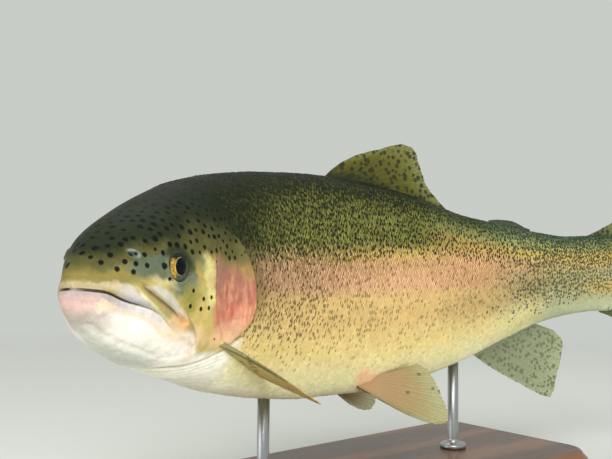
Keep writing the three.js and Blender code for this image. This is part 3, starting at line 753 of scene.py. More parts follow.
class Tree:
    """Makes the nodes of one tree."""

    def __init__(self, tree):
        self.tree = tree

    def node(self, kind, settings=None, inputs=None, out=0):
        made = self.tree.nodes.new(kind)
        for key, value in (settings or {}).items():
            setattr(made, key, value)
        for key, value in (inputs or {}).items():
            self.join(self.socket(made.inputs, key), value)
        return Signal(self, self.socket(made.outputs, out))

    @staticmethod
    def socket(sockets, key):
        if isinstance(key, int):
            return sockets[key]
        return next((s for s in sockets if s.identifier == key), None) or sockets[key]

    def join(self, socket, value):
        if isinstance(value, Signal):
            self.tree.links.new(value.socket, socket)
        elif socket.type == "RGBA" and len(value) == 3:
            socket.default_value = (*value, 1)
        else:
            socket.default_value = value

    def parts(self, vector):
        split = self.node("ShaderNodeSeparateXYZ", {}, {0: vector}).socket.node
        return [Signal(self, output) for output in split.outputs]

    def vector(self, x, y, z=0.0):
        return self.node("ShaderNodeCombineXYZ", {}, {0: x, 1: y, 2: z})


class Finish(Tree):
    """A material: its pattern is written in Python and ends in one Principled shader."""

    def __init__(self, name):
        self.material = bpy.data.materials.new(name)
        self.material.use_nodes = True
        super().__init__(self.material.node_tree)
        self.shader = self.tree.nodes["Principled BSDF"]

    def attribute(self, name, out="Vector"):
        return self.node("ShaderNodeAttribute", {"attribute_name": name}, {}, out)

    def place(self):
        return self.node("ShaderNodeTexCoord", {}, {}, "Object")

    def mix(self, amount, under, over, blend="MIX"):
        return self.node("ShaderNodeMix", {"data_type": "RGBA", "blend_type": blend},
                         {"Factor_Float": amount, "A_Color": under, "B_Color": over},
                         "Result_Color")

    def noise(self, vector, scale, detail=3.0, roughness=0.55, out=0):
        return self.node("ShaderNodeTexNoise", {}, {"Vector": vector, "Scale": scale,
                                                    "Detail": detail, "Roughness": roughness}, out)

    def cells(self, vector, scale, randomness=1.0, flat=True):
        """Distance from the nearest cell's point, and a random number for the cell."""
        made = self.node("ShaderNodeTexVoronoi", {"voronoi_dimensions": "2D" if flat else "3D"},
                         {"Vector": vector, "Scale": scale, "Randomness": randomness}).socket.node
        pick = self.parts(Signal(self, made.outputs["Color"]))
        return Signal(self, made.outputs["Distance"]), pick

    def bump(self, height, distance, strength=1.0):
        return self.node("ShaderNodeBump", {}, {"Height": height, "Distance": distance,
                                                "Strength": strength})

    def finish(self, **sockets):
        for key, value in sockets.items():
            self.join(self.shader.inputs[key.replace("_", " ")], value)
        return self.material


# ------------------------------------------------------------------ finishes of the fish
STALK = (405, 480)               # where the tail stem's larger blots set in


def hide(name, on_scales):
    """The trout's skin: ground colours, dark spots, painted glitter and, on scales, each scale's
    edge in painted shade.
    """
    paint = Finish(name)
    ground = paint.attribute("ground", "Color")
    pelt = paint.attribute("pelt")
    many, dark, glitter = paint.parts(paint.attribute("zone"))
    x, y, warm = paint.parts(pelt)
    wx, wy, _ = paint.parts(paint.noise(pelt, 1.1, 2.0, out="Color"))

    def dots(place, spread, least, growth, blur, share):
        away, (pick, size, _) = paint.cells(place, 1.0, spread)
        return (away - (size * growth + least)).ease(*blur) * pick.below(share), away

    spot_place = paint.vector((x - y * 0.22) * 1.22 + wx * 0.4, y * 0.64 + wy * 0.3)
    spot, _ = dots(spot_place, 0.85, 0.27, 0.12, (0.09, -0.05), many)
    speck_place = paint.vector(x * 1.7 + wx * 0.4, y * 0.95)
    small, near = dots(speck_place, 0.9, 0.14, 0.14, (0.06, -0.06), many * 0.35)
    stalk = x.ease(*np.interp(STALK, fine_s, fine_pelt).tolist())
    blot_place = paint.vector(x * 0.72 + wx * 0.4, y * 0.70 + wy * 0.4)
    blot, _ = dots(blot_place, 0.85, 0.27, 0.14, (0.08, -0.05), many * stalk)

    broad = paint.noise(paint.place(), 55.0, 3.0)
    fine = paint.noise(paint.place(), 700.0, 2.0)
    middling = paint.noise(paint.place(), 190.0, 4.0, 0.65)
    tone = broad * 0.24 + fine * 0.14 + middling * 0.36 + 0.62
    if on_scales:
        along, across, _ = paint.parts(paint.attribute("blade"))
        shade = paint.attribute("tone", "Fac")
        rim = along.ease(0.78, 1.0)
        sides = abs(across).ease(0.35, 0.62)
        tone = tone * (shade * 0.16 + 0.92)
        # painted shade: each scale darker at its free rim and its sides, as far as it glitters
        tone = tone * (1.0 - rim * 0.25 * glitter) * (1.0 - sides * 0.12 * glitter)
        # painted glint: a bright fleck on the middle of each scale's bare part
        shine = along.ease(0.58, 0.68) * along.ease(0.95, 0.85) * abs(across).ease(0.42, 0.26)
        gleam = shine * glitter * shade.ease(0.1, 0.6)
        dash = along.ease(0.36, 0.44) * along.ease(0.66, 0.58) * abs(across).ease(0.46, 0.36)
        tone = tone * (1.0 - dash * glitter * shade.ease(0.3, 0.5) * 0.5)
    else:
        tone = tone + (middling - 0.5) * 0.3 + (fine - 0.5) * 0.12
        # painted glints round the small specks
        gleam = near.ease(0.5, 0.15) * glitter * 0.6
        px, py, pz = paint.parts(paint.place())
        bent = paint.noise(paint.place(), 60.0, 1.0) * 3.0
        strands = paint.noise(paint.vector(px * 330.0 + bent, py * 330.0, pz * 95.0), 1.0, 3.0, 0.6)
        flush = paint.noise(paint.place(), 75.0, 2.0)
        tint = paint.mix(strands.ease(0.35, 0.65), linear(176, 92, 78), linear(238, 178, 142))
        tint = paint.mix(flush.ease(0.4, 0.62), tint, linear(164, 92, 84))
        ground = paint.mix(warm * 0.38, ground, tint)
    # the painted glints' pink or gold, laid over the ground colour
    glint_fleck = paint.mix(warm, linear(138, 134, 62), linear(232, 190, 150))
    glint_fleck = paint.mix(stalk * 0.7, glint_fleck, linear(206, 176, 92))
    lit = paint.mix(gleam * (0.62 - warm * 0.16), ground, glint_fleck)
    toned = paint.mix(1.0, lit, paint.vector(tone, tone, tone), "MULTIPLY")
    inked = paint.mix(dark, toned, linear(26, 30, 20))
    spotted = paint.mix(spot, toned, inked)
    speckled = paint.mix(small * 0.6, spotted, inked)
    speckled = paint.mix(blot * 0.8, speckled, linear(44, 58, 46))
    round_spots = paint.attribute("marks", "Fac").ease(1.12, 0.72)
    colour = paint.mix(round_spots * 0.96, speckled, linear(14, 17, 14))

    height = fine * 0.5 + paint.noise(paint.place(), 260.0, 3.0) * 0.9
    return paint.finish(
        Base_Color=colour,
        Roughness=broad * 0.16 + 0.36 + spot * 0.08,
        Normal=paint.bump(height, 0.00035, 0.5),
        Specular_IOR_Level=0.04)


def fin_finish(name, foot, web, tip, ray, ink, spots, apart=4.0, clear=0.25, lead=0.15):
    """Rays, with a web between them that clears towards the edge, and dark spots."""
    paint = Finish(name)
    out, rays, _ = paint.parts(paint.attribute("ray"))
    wave = (rays * math.pi).sine()
    bone = abs(wave).ease(0.45, 0.05)
    twig = abs((rays * 2.0 * math.pi).sine()).ease(0.5, 0.05) * out.ease(0.35, 0.6)
    ribs = bone.maths("MAXIMUM", bone, twig * 0.8)
    grain = paint.noise(paint.place(), 160.0, 3.0)
    body = paint.mix(out.ease(0.45, 1.0), web, tip)
    body = paint.mix(grain * 0.35, body, paint.mix(0.5, web, ink))
    ribbed = paint.mix(ribs * 0.35, body, ray)
    ribbed = paint.mix(out.ease(0.42, 0.1) * 0.85, ribbed, foot)
    away, (pick, size, _) = paint.cells(paint.place(), 1000.0 / apart, 1.0, flat=False)
    spot = (away - (size * 0.1 + 0.34)).ease(0.1, -0.06) * pick.below(spots) * out.ease(0.06, 0.16)
    colour = paint.mix(spot * 0.85, ribbed, ink)
    edge = paint.attribute("thin", "Fac")
    colour = paint.mix(edge.ease(1.6, 0.2) * lead, colour, ink)
    alpha = 1.0 - out.ease(0.45, 1.0) * (1.0 - ribs) * (1.0 - spot * 0.8) * clear
    return paint.finish(Base_Color=colour, Roughness=grain * 0.2 + 0.45, Alpha=alpha,
                        Normal=paint.bump(ribs * 0.7 + grain * 0.3, 0.0003, 0.35),
                        Specular_IOR_Level=0.2)


def eye_finish():
    """Blue-black pupil, gold crescent in front, dark speckled iris behind and a clear gloss."""
    paint = Finish("eye_glass")
    across, up, out = paint.parts(paint.attribute("iris"))
    grain = paint.noise(paint.attribute("iris"), 7.0, 4.0)
    fine = paint.noise(paint.attribute("iris"), 26.0, 2.0)
    radius = paint.attribute("span", "Fac")
    front = (across * -1.0 + up * -0.12 + grain * 0.3).ease(0.52, 0.68) * up.ease(0.55, 0.25)
    iris = paint.mix(fine.ease(0.42, 0.62), linear(84, 90, 70), linear(38, 44, 38))
    iris = paint.mix(up.ease(0.0, 0.5) * 0.9, iris, linear(24, 28, 20))
    gold = paint.mix(grain.ease(0.35, 0.65), linear(216, 174, 80), linear(152, 106, 34))
    iris = paint.mix(front, iris, gold)
    ring = radius.ease(0.495, 0.52) * radius.ease(0.58, 0.54)
    iris = paint.mix(ring * across.ease(0.2, -0.2) * 0.3, iris, linear(224, 200, 120))
    iris = paint.mix(radius.ease(0.80, 0.90), iris, linear(46, 48, 36))
    colour = paint.mix(radius.ease(0.52, 0.495), iris, linear(5, 16, 20))
    return paint.finish(Base_Color=colour, Roughness=0.22 + grain * 0.1,
                        Metallic=front * radius.ease(0.5, 0.55) * 0.5,
                        Specular_IOR_Level=0.05, Coat_Weight=0.1, Coat_Roughness=0.03,
                        Coat_IOR=1.33)


# ------------------------------------------------------------------ skin
SKIN_SPACING = ((0, 0.58), (66, 0.64), (70, 0.95), (140, 1.0), (160, 4.6), (540, 4.6),
                (600, 2.8))      # between rings of points, at stations down the body
HALF_COLUMNS = 152               # of points from the crown to the keel
CHEEK_TURN = 92                  # degrees from the crown, where the columns are closest
CHEEK_SPREAD = 34


def skin_grid():
    """The stations down the body and the turns round it, closest on the head and the cheeks."""
    spacing = np.interp(fine_s[1:], *zip(*SKIN_SPACING))
    count = np.concatenate(([0], np.cumsum(fine_step / spacing)))
    stations = np.interp(np.arange(1, int(count[-1]) + 1), count, fine_s)
    stations[-1] = BODY_END + CLOSING - 0.02
    turns = np.linspace(0, math.pi, 2001)
    weight = 1 + 1.5 * hump(turns - math.radians(CHEEK_TURN), math.radians(CHEEK_SPREAD))
    share = np.concatenate(([0], np.cumsum((weight[1:] + weight[:-1]) / 2)))
    right = np.interp(np.linspace(0, share[-1], HALF_COLUMNS + 1), share, turns)
    return stations, np.concatenate([right, 2 * math.pi - right[-2:0:-1]])


def make_skin():
    stations, turns = skin_grid()
    s, turn = np.meshgrid(stations, turns, indexing="ij")
    y, z = surface(s, turn)
    plain = np.stack([s, y, z], -1)
    along = np.gradient(plain, axis=0)
    around = np.roll(plain, -1, 1) - np.roll(plain, 1, 1)
    normal = np.cross(along, around)
    normal /= np.linalg.norm(normal, axis=-1, keepdims=True)
    lift = relief(s, y, z) - SKIN_DEPTH
    room = np.minimum(half(s), crown(s)) * 0.6
    shaped = plain + normal * np.maximum(lift, -room)[..., None]
    tip = shaped[0].mean(0) + (-0.3, 0, 0)
    points = np.concatenate([[tip], shaped.reshape(-1, 3)])

    at = 1 + np.arange(s.size).reshape(s.shape)
    last = at[-1].tolist()
    end = [(last[-k], last[-k - 1], last[k + 1], last[k]) for k in range(1, HALF_COLUMNS - 1)]
    end += [(last[0], last[-1], last[1]),
            (last[HALF_COLUMNS], last[HALF_COLUMNS - 1], last[HALF_COLUMNS + 1])]
    quads = np.roll(bands(at), -1, 1).tolist()
    skin = mesh_object("trout_skin", bend(points), quads + fan(0, at[0]) + end)

    fields = {"ground": ground_colour(s, z),
              "marks": spot_nearness(plain.reshape(-1, 3), scattered_spots()),
              "pelt": pelt_place(s, turn, flush(s, z)),
              "zone": zone(s, z)}
    for name, values in fields.items():
        values = values.reshape(s.size, -1)
        put(skin, **{name: np.concatenate([values[:1], values])})
    fix_normals(skin)
    skin.data.materials.append(hide("trout_hide", on_scales=False))
    return skin


# ------------------------------------------------------------------ scales
ROW_PITCH = 0.86                 # between rows, in pitches of GRAIN
SCALE_LENGTH = 1.75              # in pitches, as the width is
SCALE_WIDTH = 1.3
SCALE_ROOT = -0.05               # how far its root stands over the skin
SCALE_LIFT = 0.26                # and its free edge
SCALE_CURL = 0.05                # how far its sides droop
SCALE_BELLY = 0.12               # how far a scale's underside hangs below its root
SCALE_STEPS = ((0, 0.35), (0.28, 0.86), (0.58, 1.0), (0.82, 0.82), (0.95, 0.5), (1.0, 0.16))
SCALE_LEAN = 0.035               # how far a scale may lean out of line
STRETCHES = {"shoulder": (0, 200), "flank": (200, 300), "loin": (300, 410), "stem": (410, 620)}
BAKE_PATCH = 0.003               # a scale's size on the map
MAP_MARGIN = 0.01
MAP_LENGTH = 0.97
MAP_HALF = 0.49                  # the map's lower half is the left side, its upper half the right
MAP_WIDTH = 0.485


def flush(s, z):
    """1 where blood shows through the gill cover, 0 away from it."""
    on_cover = np.maximum(ease(-0.5, 0.5, inside(COVER, s, z)), ease(114, 108, s))
    return patch(s, z, (114, -9), (27, 21), 0, 0.8) * ease(89, 98, s) * on_cover


def warmth(s, z):
    """1 where the scales shine pink, 0 where they shine green."""
    return ease(0.4, 0.2, band_level(s, z))


def scale_plate():
    """One scale in units of its pitch, its height in millimetres: a rounded shield with a keel."""
    points = []
    blade = []
    for along, breadth in SCALE_STEPS:
        for across in (-0.5, 0, 0.5):
            droop = -SCALE_CURL * (2 * across) ** 2
            points.append(((along - 0.1) * SCALE_LENGTH, across * breadth * SCALE_WIDTH,
                           SCALE_ROOT + (SCALE_LIFT - SCALE_ROOT) * along + droop))
            blade.append((along, across * breadth, 0))
    centre = len(points)
    faces = [(3 * i + k, 3 * i + 3 + k, 3 * i + 4 + k, 3 * i + 1 + k)
             for i in range(len(SCALE_STEPS) - 1) for k in range(2)]
    rim = [0, *range(3, centre, 3), centre - 2, *range(centre - 1, 0, -3), 1]
    edges = list(zip(rim, rim[1:] + rim[:1]))
    points.append((0.45 * SCALE_LENGTH, 0, SCALE_ROOT - SCALE_BELLY))
    blade.append((0.5, 0, 0))
    faces += [(a, b, centre) for a, b in edges]
    plate = mesh_object("scale_plate", points, faces)
    put(plate, blade=blade)
    fix_normals(plate)
    outline = {frozenset(edge) for edge in edges}
    for edge in plate.data.edges:
        edge.use_edge_sharp = frozenset(edge.vertices) in outline
    return plate


def scale_roots():
    """Every scale's station and turn, in rows that follow the body, staggered one by one."""
    first, last = np.interp((98, BODY_END + 5), fine_s, fine_pelt)
    stations = np.interp(np.arange(first, last, 0.5), fine_pelt, fine_s)
    places = []
    for column, s in enumerate(stations):
        y, z = surface(s, FINE_TURNS)
        arc = np.concatenate(([0], np.cumsum(np.hypot(np.diff(y), np.diff(z)))))
        zero = np.interp(-LATERAL_LINE(s), -z, arc)
        pitch = 2 * ROW_PITCH * float(GRAIN(s))
        offset = (column % 2) * pitch / 2
        first_row = math.ceil((0.4 * pitch - zero - offset) / pitch)
        last_row = math.floor((arc[-1] - 0.3 * pitch - zero - offset) / pitch)
        at = zero + offset + np.arange(first_row, last_row + 1) * pitch
        turn = np.interp(at, arc, FINE_TURNS)
        places += [(s, t) for t in turn]
    s, turn = np.array(places).T
    y, z = surface(s, turn)
    under_fin = (np.abs(y) < 2.2) & (z > 0) & (s > DORSAL_BASE[0]) & (s < DORSAL_BASE[1])
    keep = (from_line(NAPE, s, z) < 0.5) & (inside(COVER, s, z) < 0.3) & ~under_fin
    return s[keep], turn[keep]


def coat_tree(plate, material):
    """Sets a plate on every root, in the lie of the coat, and gives each its patch of the map."""
    group = bpy.data.node_groups.new("scale_coat", "GeometryNodeTree")
    group.interface.new_socket("Roots", in_out="INPUT", socket_type="NodeSocketGeometry")
    for name, value in (("Patch", BAKE_PATCH), ("Size", MM)):
        made = group.interface.new_socket(name, in_out="INPUT", socket_type="NodeSocketFloat")
        made.default_value = value
    group.interface.new_socket("Coat", in_out="OUTPUT", socket_type="NodeSocketGeometry")
    tree = Tree(group)
    source = group.nodes.new("NodeGroupInput")
    roots, patch_size, size = (Signal(tree, source.outputs[k]) for k in range(3))

    def named(name, kind="FLOAT_VECTOR"):
        return tree.node("GeometryNodeInputNamedAttribute", {"data_type": kind}, {"Name": name})

    turn = tree.node("FunctionNodeAxesToRotation", {"primary_axis": "Z", "secondary_axis": "X"},
                     {"Primary Axis": named("upright"), "Secondary Axis": named("lie")})
    pitch = named("pitch", "FLOAT")
    shape = tree.node("GeometryNodeObjectInfo", {}, {"Object": plate}, "Geometry")
    placed = tree.node("GeometryNodeInstanceOnPoints", {}, {
        "Points": roots, "Instance": shape, "Rotation": turn,
        "Scale": tree.vector(pitch * size, pitch * size, size)})
    whole = tree.node("GeometryNodeRealizeInstances", {}, {"Geometry": placed})

    def vector_maths(operation, a, b):
        return tree.node("ShaderNodeVectorMath", {"operation": operation}, {0: a, 1: b})

    def spread(field, size):
        return vector_maths("ADD", named(field), vector_maths("MULTIPLY", named("blade"), size))

    pelt = spread("pelt", (SCALE_LENGTH, SCALE_WIDTH, 0))
    place = spread("home", tree.vector(patch_size, patch_size))
    for name, kind, domain, value in (("pelt", "FLOAT_VECTOR", "POINT", pelt),
                                      ("OFBake", "FLOAT2", "CORNER", place)):
        whole = tree.node("GeometryNodeStoreNamedAttribute", {"data_type": kind, "domain": domain},
                          {"Geometry": whole, "Name": name, "Value": value})
    for spare in ("upright", "lie", "home", "pitch"):
        whole = tree.node("GeometryNodeRemoveAttribute", {}, {"Geometry": whole, "Name": spare})
    painted = tree.node("GeometryNodeSetMaterial", {}, {"Geometry": whole, "Material": material})
    target = group.nodes.new("NodeGroupOutput")
    tree.join(target.inputs[0], painted)
    return group


def input_key(group, name):
    return next(item.identifier for item in group.interface.items_tree
                if item.name == name and item.in_out == "INPUT")


def unit(vectors):
    return vectors / np.linalg.norm(vectors, axis=1, keepdims=True)


def make_coat():
    rng = np.random.default_rng(11)
    s, turn = scale_roots()
    y, z = surface(s, turn)
    step_s, step_turn = 0.5, 0.01

    def on_body(s, turn):
        return bend(np.stack([s, *surface(s, turn)], -1))

    lifts = MM * (relief(s, y, z) - SKIN_DEPTH)
    plate = scale_plate()
    group = coat_tree(plate, hide("trout_scales", on_scales=True))
    pelt = pelt_place(s, turn, warmth(s, z))
    low, high = pelt.min(0), pelt.max(0)
    home = MAP_MARGIN + (MAP_LENGTH, MAP_WIDTH, 0) * (pelt - low) / np.maximum(high - low, 1)
    fields = {"pelt": pelt, "home": home, "tone": rng.random(len(s)),
              "pitch": GRAIN(s) * rng.uniform(0.95, 1.06, len(s)),
              "marks": np.full(len(s), SPOT_LIMIT), "ground": ground_colour(s, z),
              "zone": zone(s, z)}
    lean = rng.normal(0, SCALE_LEAN, (len(s), 2))
    made = []
    for side, sign in SIDES.items():
        angle = turn if sign > 0 else 2 * math.pi - turn
        base = on_body(s, angle)
        rear = unit(on_body(s + step_s, angle) - base)
        down = unit(on_body(s, angle + step_turn) - on_body(s, angle - step_turn))
        upright = unit(np.cross(rear, down))
        base += upright * lifts[:, None]
        fields["home"] = home + (0, MAP_HALF * (sign > 0), 0)
        fields["lie"] = rear
        fields["upright"] = upright + down * lean[:, :1] + rear * lean[:, 1:]
        for stretch, (start, end) in STRETCHES.items():
            part = (s >= start) & (s < end)
            name = f"scales_{stretch}_{side}"
            roots = mesh_object(name + "_roots", base[part], [])
            put(roots, **{key: values[part] for key, values in fields.items()})
            modifier = roots.modifiers.new("coat", "NODES")
            modifier.node_group = group
            modifier[input_key(group, "Patch")] = BAKE_PATCH
            made.append(evaluated(roots, name))
    bpy.data.objects.remove(plate)
    return made


# ------------------------------------------------------------------ eyes
GAZE = 0.12                      # how far the pupil looks below the middle of the eye's opening
IRIS_LINE = ((0, 6.2), (1.6, 6.05), (3.0, 5.45), (4.3, 4.65), (4.7, 4.1), (5.05, 3.85), (6.3, 3.7),
             (7.4, 3.35), (8.3, 2.6), (8.9, 1.5), (9.2, 0), (8.2, -2.8), (5.2, -5.1), (0, -6.2))


def make_eye(side, material):
    """A turned eyeball: the lens bulges out of the pupil, and the iris slopes back round it."""
    local, faces = turned(rounded(IRIS_LINE, 52), 56)
    across, up, out = local.T
    look = Matrix.Rotation(-EYE["turn"], 3, "Z") @ Matrix.Rotation(GAZE - EYE["tilt"], 3, "X")
    placed = np.stack([across, -out, up], -1) @ np.array(look).T
    placed = (placed + (EYE["s"], -EYE["y"], EYE["z"])) * (1, -SIDES[side], 1)
    eye = mesh_object(f"eyeball_{side}", bend(placed), faces)
    fix_normals(eye)
    reach = np.hypot(across, up)
    span = np.where(out > 0, reach, 2 * EYE["radius"] - reach)
    put(eye, iris=local / EYE["radius"], span=span / EYE["radius"])
    eye.data.materials.append(material)
    return eye


# ------------------------------------------------------------------ fins
FIN_RIM = 0.9                    # a blade's thickness at its edge
SUNK = 3                         # how deep a fin's root lies in the flesh
SHORT_RAYS = 3                   # they fill a fin's leading edge, before the first long ray


def on_midline(points):
    """Places (s, z) in the plane that halves the fish."""
    return [(s, 0, z) for s, z in points]


def body_line(start, end, steps, height):
    """Places along the back or the belly, at a height that depends on s."""
    return [(s, 0, float(height(s))) for s in np.linspace(start, end, steps + 1)]


def flat_fin(origin, along, across, root, margin):
    """A paired fin's lines, from sizes along its leading edge and across from it."""
    a = np.array(along, float)
    a /= np.linalg.norm(a)
    c = np.array(across, float)
    c -= a * (c @ a)
    c /= np.linalg.norm(c)
    return dict(zip(("root", "margin"), ([np.array(origin) + a * p + c * q for p, q in line]
                                         for line in (root, margin))))


# Root and margin of the paired fins: along the leading edge and across from it.
PECTORAL = ([(-2, 0), (0, 5), (3, 12)],
            [(30, -2.5), (66, -2.5), (97, 0), (106, 4), (104, 10), (95, 18), (80, 25), (62, 28),
             (44, 24)])
PELVIC = ([(-2, 0), (5, 6), (11, 13)],
          [(26, -3), (48, -4), (70, -1), (76, 3), (75, 10), (67, 19.5), (58, 28), (50, 34),
           (39, 36)])
FINS = {
    "dorsal_fin": dict(
        root=body_line(269, 357, 6, lambda s: crown(s) - SUNK),
        margin=on_midline([(268, 84), (280, 94), (300, 104.5), (323, 111.5), (347, 117), (359, 112),
                           (364, 99), (371, 83), (382, 71), (394, 60.8)]),
        thickness=5, rays=13, first=4),
    "adipose_fin": dict(
        root=body_line(440, 468, 4, lambda s: crown(s) - SUNK),
        margin=on_midline([(435, 54), (442, 54.6), (450, 54.4), (457, 53.8), (463, 52.6),
                           (469, 50.2), (475, 47.4), (481, 45.2), (479, 42.8), (472, 43)]),
        thickness=5.5, rays=0),
    "anal_fin": dict(
        root=body_line(421, 480, 6, lambda s: SUNK - keel(s)),
        margin=on_midline([(419, -63), (434, -73), (452, -83), (472, -93.5), (491, -103.5),
                           (504, -106.5), (510, -92), (515.5, -74), (518, -58), (508, -47)]),
        thickness=4.5, rays=12, first=5),
    "tail_fin": dict(
        root=on_midline([(571, 33.5), (574, 18), (575, 0), (574, -17), (571, -31)]),
        margin=on_midline([(547, 38.5), (562, 43.4), (582, 51), (608, 60.5), (634, 67), (639.5, 62),
                           (634, 42), (627.5, 20), (625.5, 2), (628, -17), (634, -39), (639.5, -60),
                           (634, -65.5), (614, -58), (594, -47.5), (576, -38.5), (562, -33.5)]),
        thickness=9, rays=22, first=4, last=12),
}
PAIRED = {                       # origin, along and across the blade, all on the right side
    "pectoral_fin": ((105, 35.5, -34), {"left": (88, 34, -41), "right": (88, 34, -41)},
                     (0.37, -0.93, 0.02), PECTORAL, dict(thickness=4.2, rays=13, first=3)),
    "pelvic_fin": ((285, 22, -76), {"left": (54, 45, -28), "right": (61, 27, -38)},
                   (0.52, -0.10, 0.85), PELVIC, dict(thickness=4, rays=10, first=3)),
}
PAIRED_BOW = 2                   # how far a paired fin's blade bows outwards
for fin, (origin, along, across, lines, sizes) in PAIRED.items():
    for side, sign in SIDES.items():
        place = [np.multiply(v, (1, sign, 1)) for v in (origin, along[side], across)]
        FINS[f"{fin}_{side}"] = dict(flat_fin(*place, *lines), bow=PAIRED_BOW * sign, **sizes)


def ray_places(points, root, margin, rays, first, last):
    """For points of a fin: the number of the ray each is on, how far out along it they are, and
    how many rays lie between them and the edge.

    Long rays run from the root to the trailing edge, between two points of the margin."""
    t = np.linspace(0, 1, 241)
    low, high = first / (len(margin) - 1), last / (len(margin) - 1)
    lead = np.linspace(0.1, 1, 61)[:-1] if low > 0 else np.zeros(0)
    trail = 1 - lead[::-1] if high < 1 else np.zeros(0)
    start = through(root, np.concatenate([0 * lead, t, 1 + 0 * trail]))
    finish = through(margin, np.concatenate([low * lead, low + (high - low) * t,
                                             high + (1 - high) * trail]))
    number = np.concatenate([SHORT_RAYS * (lead - 1), rays * t, rays + SHORT_RAYS * trail])
    ray = finish - start
    length = np.linalg.norm(ray, axis=1)
    flat = np.cross(start[-1] - start[0], finish.mean(0) - start.mean(0))
    level = np.cross(flat / np.linalg.norm(flat), ray / length[:, None])
    away = points @ level.T - (start * level).sum(1)
    nearest = np.clip(np.abs(away).argmin(1), 1, len(number) - 2)
    rows = np.arange(len(points))
    slope = (away[rows, nearest + 1] - away[rows, nearest - 1]) / 2
    shift = np.clip(-away[rows, nearest] / np.where(np.abs(slope) < 1e-6, 1e-6, slope), -1, 1)
    which = np.interp(nearest + shift, np.arange(len(number)), number)
    out = ((points - start[nearest]) * ray[nearest]).sum(1) / length[nearest] ** 2
    return which, np.clip(out, 0, 1), np.minimum(which - number[0], number[-1] - which)


COLUMNS_PER_RAY = 12
FIN_ROWS = 61


def make_fin(name, root, margin, thickness, rays, bow=0, first=0, last=None):
    """A closed blade with raised rays, their branches and an edge that dips between them."""
    columns = max(rays, 8) * COLUMNS_PER_RAY + 1
    rows = FIN_ROWS
    u, v = np.meshgrid(np.linspace(0, 1, rows), np.linspace(0, 1, columns))
    start, end = through(root, v[:, 0]), through(margin, v[:, 0])

    def at(u):
        return (start[:, None] * (1 - u[..., None]) + end[:, None] * u[..., None]
                + np.array([0, bow, 0]) * (4 * u * (1 - u))[..., None])

    last = len(margin) - 1 if last is None else last
    count, out, edge = (a.reshape(u.shape) for a in ray_places(
        at(u).reshape(-1, 3), root, margin, rays, first, last))
    comb = np.abs(np.cos(math.pi * count)) if rays else np.ones_like(v)
    twigs = np.abs(np.cos(2 * math.pi * count)) if rays else np.ones_like(v)
    fray = 0.016 * (1 - twigs) + 0.010 * np.sin(count * 2.7) * np.sin(count * 1.1)
    reach = u * (1 - (fray if rays else 0) * ease(0.7, 1.0, u))
    middle = at(reach)
    outward = np.gradient(middle, axis=1)
    across = np.gradient(middle, axis=0)
    normal = np.cross(outward, across)
    normal /= np.maximum(np.linalg.norm(normal, axis=-1, keepdims=True), 1e-9)
    depth = (thickness + (FIN_RIM - thickness) * u ** 0.7) / 2
    if rays:
        ridge = comb ** 3 * (1 - 0.4 * ease(0.4, 0.8, out))
        ridge += twigs ** 3 * 0.5 * ease(0.35, 0.6, out)
        depth = depth * (0.87 + 0.13 * np.minimum(ridge, 1)) * (1 - 0.35 * ease(0.8, 1, u))
    else:
        depth = depth * np.sqrt(np.clip(1 - (2 * v - 1) ** 8, 0.04, 1)) * (1 - 0.3 * u ** 4)
    sheets = np.stack([middle + normal * depth[..., None], middle - normal * depth[..., None]])
    total = rows * columns
    index = np.arange(2 * total).reshape(2, columns, rows)

    def quads(a):
        return np.stack([a[:-1, :-1], a[:-1, 1:], a[1:, 1:], a[1:, :-1]], -1).reshape(-1, 4)

    rim = np.concatenate([index[0, 0, :-1], index[0, :-1, -1], index[0, -1, :0:-1],
                          index[0, :0:-1, 0]])
    after = np.roll(rim, -1)
    wall = np.stack([rim, rim + total, after + total, after], -1)
    faces = np.concatenate([quads(index[0]), quads(index[1])[:, ::-1], wall]).tolist()
    fin = mesh_object(f"{name}_blade", bend(sheets.reshape(-1, 3)), faces)
    fix_normals(fin)
    ray = np.stack([out, count, v], -1).reshape(total, 3)
    put(fin, ray=np.concatenate([ray] * 2), thin=np.concatenate([edge.ravel()] * 2))
    return fin


INK = (34, 38, 22)
FIN_LOOKS = {                    # foot, web, tip, ray and spots; share of spots and the rest
    "dorsal_fin": ("fin_olive", (36, 42, 22), (76, 74, 26), (112, 112, 34), (96, 92, 46), INK,
                   1.0, 4.8, 0.4, 0.85),
    "anal_fin": ("fin_grey_green", (118, 122, 98), (128, 134, 106), (158, 164, 122),
                 (142, 148, 114), (90, 98, 72), 0.85, 3.8, 0.45),
    "tail_fin": ("fin_tail", (66, 78, 58), (96, 100, 64), (118, 118, 76), (118, 116, 76), INK,
                 1.0, 4.8, 0.2, 0.4),
    "pelvic_fin": ("fin_tan", (164, 130, 96), (152, 126, 88), (160, 160, 102), (172, 148, 108),
                   (90, 80, 60), 0.07, 4.0, 0.5),
    "pectoral_fin": ("fin_ochre", (198, 182, 122), (212, 190, 118), (210, 178, 98),
                     (222, 196, 130), (88, 92, 68), 0.3, 4.0, 0.3, 0.7),
}


def make_fins():
    finishes = {kind: fin_finish(name, *(linear(*shade) for shade in look[:5]), *look[5:])
                for kind, (name, *look) in FIN_LOOKS.items()}
    finishes["adipose_fin"] = adipose_finish()
    made = {}
    for name, shape in FINS.items():
        made[name] = make_fin(name, **shape)
        kind = name.removesuffix("_left").removesuffix("_right")
        made[name].data.materials.append(finishes[kind])
    return made


def adipose_finish():
    """Dark flesh without rays, with small blots."""
    paint = Finish("adipose_flesh")
    grain = paint.noise(paint.place(), 220.0, 4.0)
    away, (pick, _, _) = paint.cells(paint.place(), 260.0, 0.9, flat=False)
    colour = paint.mix(grain.ease(0.3, 0.7), linear(40, 50, 35), linear(57, 67, 45))
    colour = paint.mix(away.ease(0.34, 0.22) * pick.below(0.5) * 0.7, colour, linear(34, 38, 26))
    return paint.finish(Base_Color=colour, Roughness=0.42 + grain * 0.12,
                        Normal=paint.bump(grain, 0.0003, 0.5), Coat_Weight=0.15,
                        Coat_Roughness=0.25)


